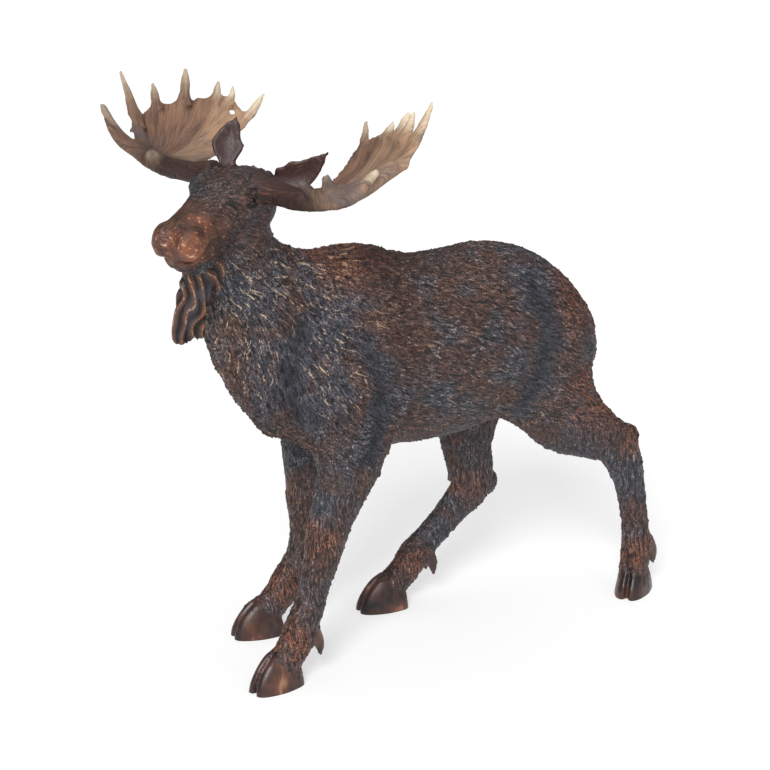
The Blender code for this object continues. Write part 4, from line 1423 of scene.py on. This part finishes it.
class Shade:
    """A socket of a material's node tree, which adds and multiplies like a number."""

    def __init__(self, tree, socket=None):
        self.tree = tree
        self.socket = socket

    def node(self, kind, settings=None, values=None, out=0):
        """Adds one node. Settings come first, then each socket's value or link."""
        made = self.tree.nodes.new("ShaderNode" + kind)
        for name, value in (settings or {}).items():
            setattr(made, name, value)
        for name, value in (values or {}).items():
            if isinstance(value, Shade):
                self.tree.links.new(value.socket, made.inputs[name])
            else:
                made.inputs[name].default_value = value
        return Shade(self.tree, made.outputs[out])

    def maths(self, operation, *terms):
        return self.node("Math", {"operation": operation}, dict(enumerate(terms)))

    def __add__(self, other):
        return self.maths("ADD", self, other)

    __radd__ = __add__

    def __mul__(self, other):
        return self.maths("MULTIPLY", self, other)

    __rmul__ = __mul__

    def __sub__(self, other):
        return self.maths("SUBTRACT", self, other)

    def __rsub__(self, other):
        return self.maths("SUBTRACT", other, self)

    def rise(self, low, high):
        """0 below low and 1 above high, with a soft step between."""
        limits = {"Value": self, "From Min": low, "From Max": high}
        return self.node("MapRange", {"interpolation_type": "SMOOTHSTEP"}, limits)

    def layer(self, name, out="Fac"):
        return self.node("Attribute", {"attribute_name": name}, {}, out)

    def place(self):
        return self.node("TexCoord", out="Object")

    def noise(self, place, scale, detail=3.0, rough=0.55):
        values = {"Vector": place, "Scale": scale, "Detail": detail, "Roughness": rough}
        return self.node("TexNoise", {}, values)

    def moved(self, place, way):
        return self.node("VectorMath", {"operation": "ADD"}, {0: place, 1: way})

    def wavy(self):
        """The place on the statue, shifted a little to and fro so that streaks bend like hair."""
        sway = self.node("TexNoise", {}, {"Vector": self.place(), "Scale": 55, "Detail": 1.0}, out=1)
        centred = self.moved(sway, (-0.5, -0.5, -0.5))
        shift = self.node("VectorMath", {"operation": "SCALE"}, {0: centred, "Scale": SWAY})
        return self.moved(self.place(), shift)

    def streaks(self, place, lean, scale, stretch=6.0):
        """Noise drawn out along a way that leans down by so many degrees from straight back."""
        turned = {"Vector": place, "Rotation": (math.radians(-lean), 0, 0), "Scale": (1, stretch, 1)}
        return self.noise(self.node("Mapping", {"vector_type": "TEXTURE"}, turned), scale, 2.0)

    def over(self, base, paint, share):
        """One colour laid over another."""
        opaque = [colour_ if isinstance(colour_, Shade) else (*colour_, 1) for colour_ in (base, paint)]
        return self.node("Mix", {"data_type": "RGBA"}, {0: share, 6: opaque[0], 7: opaque[1]}, out=2)

    def number_over(self, base, paint, share):
        """One number over another."""
        return self.node("Mix", {"data_type": "FLOAT"}, {0: share, 2: base, 3: paint})


def fur_streaks(s):
    """Fine streaks that follow the coat: back along the barrel, down the neck and down the legs."""
    place = s.wavy()
    barrel, neck, leg = (s.streaks(place, lean, FUR_SCALE) for lean in COAT_LEANS)
    return s.number_over(s.number_over(barrel, neck, s.layer("mane")), leg, s.layer("leg"))


def coat_paint(s, colours, streak):
    """Dark ground in the gaps as painted shade, then brown or slate, copper in patches, and pale gold brushed
    over the tips, with painted shade in the creases.
    """
    place = s.place()
    ridge, crest, tone, on_face = s.layer("ridge"), s.layer("crest"), s.layer("tone"), s.layer("face")
    crease_shade = s.layer("crease_shade")
    broad, middling, fine = s.noise(place, 12, 2.0), s.noise(place, 38, 3.0), s.noise(place, 900, 3.0, 0.7)
    patches = s.noise(s.moved(place, (3, 1, 2)), 16, 4.0)
    wash = (patches + (middling - 0.5) * 0.9 + streak * 0.25 + crease_shade * 0.25).rise(0.48, 0.82)
    paint = s.over(tuple(colours.warm), tuple(colours.slate), wash)
    copper = s.layer("copper") * (middling + tone * 0.35).rise(0.44, 0.80)
    paint = s.over(paint, tuple(colours.copper), copper * 0.88)
    paint = s.over(paint, tuple(colours.muzzle), on_face * (broad - 0.1))
    mane = s.layer("mane")
    # Painted shade: the dark ground shows where the strokes and the fine streaks are low, in the gaps between
    # them.
    height = ridge * (mane * 0.35 + 0.22) + streak * (1.10 - mane * 0.25) + (fine - 0.5) * 1.1
    paint = s.over(tuple(colours.ground), paint, height.rise(0.42, 0.84))
    rubbed = (ridge * 0.3 + middling * 0.9 + crest * tone * 0.5).rise(0.38, 0.92)
    thin = (streak + (fine - 0.5) * 1.1).rise(0.60, 0.76) * rubbed
    lock = crest.rise(0.25, 0.90) * (tone + broad * 0.5).rise(0.98, 1.14) * (streak + 0.35) * mane
    brushed = (thin * 0.66 + lock * 0.80) * (1 - on_face * 0.40) * (1 - crease_shade * 0.8)
    brushed = brushed * (1 - s.layer("leg") * 0.25)
    paint = s.over(paint, tuple(colours.gold), brushed)
    # Painted shade in the creases, in the dark ground.
    paint = s.over(paint, tuple(colours.ground), crease_shade * 0.45)
    metal = copper * 0.20 + brushed * 0.25
    rough = 0.44 - brushed * 0.08 - copper * 0.05 + fine * 0.08
    return paint, rough, metal


def bell_paint(s, colours):
    """Dark ground in the grooves between the locks as painted shade, copper on them and a pale line along
    each crest.
    """
    wave, fine = s.layer("wave"), s.noise(s.place(), 500, 3.0)
    high = wave + (fine - 0.5) * 0.5
    # Painted shade: the dark ground where the waves are low, in the grooves between the locks.
    paint = s.over(tuple(colours.ground), tuple(colours.muzzle), high.rise(0.30, 0.85))
    cloud = s.noise(s.place(), 45, 2.0)
    paint = s.over(paint, tuple(colours.slate), cloud.rise(0.50, 0.66) * 0.5)
    paint = s.over(paint, tuple(colours.copper), (1 - cloud).rise(0.52, 0.66) * high.rise(0.40, 0.80) * 0.8)
    line = high.rise(0.88, 1.06)
    return s.over(paint, tuple(colours.gold), line * 0.70), 0.38, line * 0.2 + 0.10


def muzzle_paint(s, colours):
    """Copper bronze with pale flecks that run back along the nose."""
    place = s.place()
    drawn = s.streaks(s.wavy(), 30, 420, 3.0)
    cloud = s.noise(place, 46, 3.0)
    paint = s.over(tuple(colours.ground), tuple(colours.muzzle), (drawn * 0.7 + cloud * 0.8).rise(0.42, 0.80))
    paint = s.over(paint, tuple(colours.copper), (cloud + drawn * 0.3).rise(0.60, 0.84) * 0.8)
    flecks = (drawn * 1.1 + cloud * 0.5).rise(0.92, 1.08)
    return s.over(paint, tuple(colours.gold), flecks * 0.75), 0.36 - flecks * 0.06, flecks * 0.3 + 0.14


def antler_paint(s, colours):
    """Tan palms with brown grain, the far right one darker with painted shade and the near left one lighter
    with painted light, ivory at the tips, red brown by the head.
    """
    fan = s.layer("fan", "Vector")
    spread = s.node("VectorMath", {"operation": "MULTIPLY"}, {0: fan, 1: (1, 0.10, 0.4)})
    grain, wide_grain = s.noise(spread, 210, 4.0, 0.65), s.noise(spread, 70, 3.0, 0.6)
    reach = s.node("SeparateXYZ", {}, {0: fan}, out="Y")
    cloud = s.noise(s.place(), 42, 3.0)
    pattern = (grain * 0.55 + wide_grain * 0.45 + cloud * 0.35).rise(0.50, 0.78)
    paint = s.over(tuple(colours.grain), tuple(colours.antler), pattern)
    pale = (s.layer("rib") * 0.08 + grain * 0.40 + reach * 0.80 + s.layer("tine") * 0.60).rise(0.50, 1.02)
    paint = s.over(paint, tuple(colours.ivory), pale * 0.85)
    # Painted light and shade: the far right palm is darkened with grain and the near left one lightened with
    # ivory.
    side = s.node("SeparateXYZ", {}, {0: fan}, out="X").rise(-0.02, 0.02)
    paint = s.over(paint, tuple(colours.grain), (1 - side) * 0.42)
    paint = s.over(paint, tuple(colours.ivory), side * grain * 0.22)
    # Slate wash near the root of each palm, laid there partly as painted shade of the bowl.
    paint = s.over(paint, tuple(colours.slate), (1 - reach.rise(0.05, 0.22)) * cloud.rise(0.38, 0.60) * 0.65)
    near_head = s.layer("beam")
    worn = (cloud * 0.6 + grain * 0.8).rise(0.40, 0.62)
    stained = s.over(tuple(colours.beam), tuple(colours.ground), worn * 0.5)
    paint = s.over(paint, stained, near_head * (1 - s.layer("tine")))
    paint = s.over(paint, tuple(colours.copper), near_head * (grain + cloud * 0.3).rise(0.66, 0.86) * 0.6)
    return paint, 0.50 + grain * 0.12, 0.03 + near_head * 0.07


def hoof_paint(s, colours):
    """Dark horn with copper patches, partly rubbed wear and partly a painted glow of light, and gold spots as
    painted highlights.
    """
    place = s.place()
    drawn = s.node("Mapping", {"vector_type": "TEXTURE"}, {"Vector": place, "Scale": (1, 1, 5)})
    bands = s.noise(drawn, 300, 3.0)
    cloud = s.noise(place, 40, 2.0)
    paint = s.over(tuple(colours.hoof_edge), tuple(colours.hoof), (bands * 0.3 + cloud).rise(0.42, 0.78))
    # Painted highlight: copper patches that stand in partly for the glow of light on the horn.
    paint = s.over(paint, tuple(colours.copper), (cloud + bands * 0.25).rise(0.66, 0.88) * 0.55)
    # Painted highlight: gold spots where the horn shines.
    hoof_highlight = (cloud + bands * 0.4).rise(0.80, 0.98)
    return s.over(paint, tuple(colours.gold), hoof_highlight * 0.22), 0.30 + bands * 0.10, hoof_highlight * 0.15 + 0.08


def painted_resin(colours):
    """The one finish of the casting. Masks on the skin say which paint shows where."""
    material = bpy.data.materials.new("painted resin")
    material.use_nodes = True
    s = Shade(material.node_tree)
    shader = material.node_tree.nodes["Principled BSDF"]
    streak = fur_streaks(s)
    paint, rough, metal = coat_paint(s, colours, streak)
    ear, antler_mask, hoof_mask = s.layer("ear"), s.layer("antler"), s.layer("hoof")
    paint = s.over(paint, tuple(colours.ground), ear * 0.55)
    paint = s.over(paint, tuple(colours.ear), ear * s.layer("inside") * (0.4 + streak * 0.5))
    nose = s.layer("muzzle") + (s.noise(s.place(), 60, 3.0) - 0.5) * 0.9
    for mask, (over, over_rough, over_metal) in (
        (nose.rise(0.15, 0.95), muzzle_paint(s, colours)),
        (s.layer("bell").rise(0.35, 0.75), bell_paint(s, colours)),
        (antler_mask.rise(0.35, 0.70), antler_paint(s, colours)),
        (hoof_mask.rise(0.45, 0.60), hoof_paint(s, colours)),
    ):
        paint = s.over(paint, over, mask)
        rough = s.number_over(rough, over_rough, mask)
        metal = s.number_over(metal, over_metal, mask)
    shader.inputs["Specular IOR Level"].default_value = 0.45
    dark = s.layer("dark")
    # Painted shade in the mouth's slot, in the dark ground.
    paint = s.over(paint, tuple(colours.ground), s.layer("mouth") * 0.9)
    # The eyes' own near black, also laid in the nostrils as painted shade.
    paint = s.over(paint, tuple(colours.eye), dark)
    rough = s.number_over(rough, 0.22, dark)
    bare = (1 - antler_mask) * (1 - hoof_mask) * (1 - ear * 0.8) * (1 - s.layer("bell") * 0.6)
    relief = streak * bare * 0.9 + s.noise(s.place(), 1100, 2.0) * (0.15 + bare * 0.30)
    fan = s.node("VectorMath", {"operation": "MULTIPLY"}, {0: s.layer("fan", "Vector"), 1: (1, 0.10, 0.4)})
    relief = relief + s.noise(fan, 240, 3.0) * antler_mask * 1.2
    bump = s.node("Bump", {}, {"Strength": 1.0, "Distance": 0.0011, "Height": relief})
    for name, value in (("Base Color", paint), ("Roughness", rough), ("Metallic", metal), ("Normal", bump)):
        material.node_tree.links.new(value.socket, shader.inputs[name])
    return material


def figure_and_finish():
    """The carved skin and its paint, which every piece is taken from."""
    return bpy.data.objects["figure"], bpy.data.materials["painted resin"]


class STATUE_OT_skin(bpy.types.Operator):
    """Carve the whole skin and mix its paint"""

    bl_idname = "statue.skin"
    bl_label = "Carve Skin"

    def execute(self, context):
        figure = carve_figure(context.scene.moose_carving)
        flat_soles(figure)
        set_layer(figure.data, "skin_normal", normals_of(figure.data))
        part_skin(figure)
        context.scene.moose_studio.figure_origin = fit_to_solid(figure.data)
        painted_resin(context.scene.moose_paint)
        return {"FINISHED"}


class STATUE_OT_antlers(bpy.types.Operator):
    """Take the two antlers from the carved skin"""

    bl_idname = "statue.antlers"
    bl_label = "Antlers"

    def execute(self, context):
        figure, finish = figure_and_finish()
        for name in ("antler_left", "antler_right"):
            take_piece(figure, name, finish)
        return {"FINISHED"}


class STATUE_OT_head(bpy.types.Operator):
    """Take the head with its ears and dewlap from the carved skin"""

    bl_idname = "statue.head"
    bl_label = "Head"

    def execute(self, context):
        figure, finish = figure_and_finish()
        take_piece(figure, "head", finish)
        return {"FINISHED"}


class STATUE_OT_body(bpy.types.Operator):
    """Take the two halves of the body from the carved skin"""

    bl_idname = "statue.body"
    bl_label = "Body"

    def execute(self, context):
        figure, finish = figure_and_finish()
        for name in ("forequarter", "hindquarter"):
            take_piece(figure, name, finish)
        return {"FINISHED"}


class STATUE_OT_legs(bpy.types.Operator):
    """Take the four legs with their hooves from the carved skin"""

    bl_idname = "statue.legs"
    bl_label = "Legs"

    def execute(self, context):
        figure, finish = figure_and_finish()
        for name in ("fore_leg_left", "fore_leg_right", "hind_leg_left", "hind_leg_right"):
            take_piece(figure, name, finish)
        return {"FINISHED"}


def aimed(obj, place, target):
    obj.location = place
    obj.rotation_euler = (Vector(target) - Vector(place)).to_track_quat("-Z", "Y").to_euler()
    bpy.context.scene.collection.objects.link(obj)
    return obj


def soft_light(name, power, spread, place, target):
    """A broad light that reaches the whole floor evenly. spread is its angle in degrees."""
    light = bpy.data.lights.new(name, "SUN")
    light.energy = power
    light.angle = math.radians(spread)
    return aimed(bpy.data.objects.new(name, light), place, target)


def floor_material():
    material = bpy.data.materials.new("pale floor")
    material.use_nodes = True
    shader = material.node_tree.nodes["Principled BSDF"]
    s = Shade(material.node_tree)
    cloud = s.noise(s.place(), 2.0, 2.0)
    shade = s.over((0.46, 0.46, 0.46), (0.49, 0.49, 0.49), cloud)
    material.node_tree.links.new(shade.socket, shader.inputs["Base Color"])
    shader.inputs["Emission Color"].default_value = (1, 1, 1, 1)
    shader.inputs["Emission Strength"].default_value = FLOOR_GLOW
    shader.inputs["Roughness"].default_value = 0.9
    shader.inputs["Specular IOR Level"].default_value = 0.1
    return material


class STATUE_OT_stage(bpy.types.Operator):
    """Lay the floor, light it softly and set up the camera at the photograph's angle"""

    bl_idname = "statue.stage"
    bl_label = "Stage"

    def execute(self, context):
        studio = context.scene.moose_studio
        bm = bmesh.new()
        bmesh.ops.create_grid(bm, x_segments=8, y_segments=8, size=studio.floor_size / 2)
        mesh = bpy.data.meshes.new("floor")
        bm.to_mesh(mesh)
        bm.free()
        mesh.materials.append(floor_material())
        floor = bpy.data.objects.new("floor", mesh)
        floor.location.z = FLOOR_GAP
        context.scene.collection.objects.link(floor)
        unit = WITHERS_HEIGHT
        shift = Vector(studio.figure_origin)
        target = at(*CAMERA_TARGET) * unit + shift
        soft_light("key", studio.key_power, KEY_SPREAD, at(*KEY_PLACE) * unit, target)
        soft_light("fill", studio.fill_power, FILL_SPREAD, at(*FILL_PLACE) * unit, target)
        soft_light("top", studio.top_power, TOP_SPREAD, at(*TOP_PLACE) * unit, target)
        world = bpy.data.worlds.new("white surroundings")
        world.use_nodes = True
        world.node_tree.nodes["Background"].inputs["Strength"].default_value = studio.sky
        world.node_tree.nodes["Background"].inputs["Color"].default_value = (1, 1, 1, 1)
        context.scene.world = world
        context.scene.view_settings.view_transform = "Standard"
        data = bpy.data.cameras.new("camera")
        data.lens = studio.lens
        data.sensor_width = 36
        data.dof.use_dof = False
        data.clip_end = 50
        camera = bpy.data.objects.new("camera", data)
        context.scene.camera = aimed(camera, at(*CAMERA_PLACE) * unit + shift, target)
        return {"FINISHED"}


class STATUE_PT_panel(bpy.types.Panel):
    """The statue's sizes, colours and steps"""

    bl_idname = "STATUE_PT_panel"
    bl_label = "Resin Moose"
    bl_space_type = "VIEW_3D"
    bl_region_type = "UI"
    bl_category = "Statue"

    def draw(self, context):
        for group in (context.scene.moose_carving, context.scene.moose_paint, context.scene.moose_studio):
            for name in type(group).__annotations__:
                self.layout.prop(group, name)
        for operator in OPERATORS:
            self.layout.operator(operator.bl_idname)


OPERATORS = (
    STATUE_OT_skin, STATUE_OT_antlers, STATUE_OT_head, STATUE_OT_body, STATUE_OT_legs, STATUE_OT_stage,
)
CLASSES = (CarvingSizes, PaintColours, StudioSettings, *OPERATORS, STATUE_PT_panel)


def register():
    for kind in CLASSES:
        bpy.utils.register_class(kind)
    bpy.types.Scene.moose_carving = bpy.props.PointerProperty(type=CarvingSizes)
    bpy.types.Scene.moose_paint = bpy.props.PointerProperty(type=PaintColours)
    bpy.types.Scene.moose_studio = bpy.props.PointerProperty(type=StudioSettings)


def unregister():
    for name in ("moose_carving", "moose_paint", "moose_studio"):
        delattr(bpy.types.Scene, name)
    for kind in reversed(CLASSES):
        bpy.utils.unregister_class(kind)


def main():
    register()
    bpy.ops.statue.skin()
    bpy.ops.statue.antlers()
    bpy.ops.statue.head()
    bpy.ops.statue.body()
    bpy.ops.statue.legs()
    bpy.ops.statue.stage()
    bpy.data.objects.remove(bpy.data.objects["figure"], do_unlink=True)


if __name__ == "__main__":
    main()
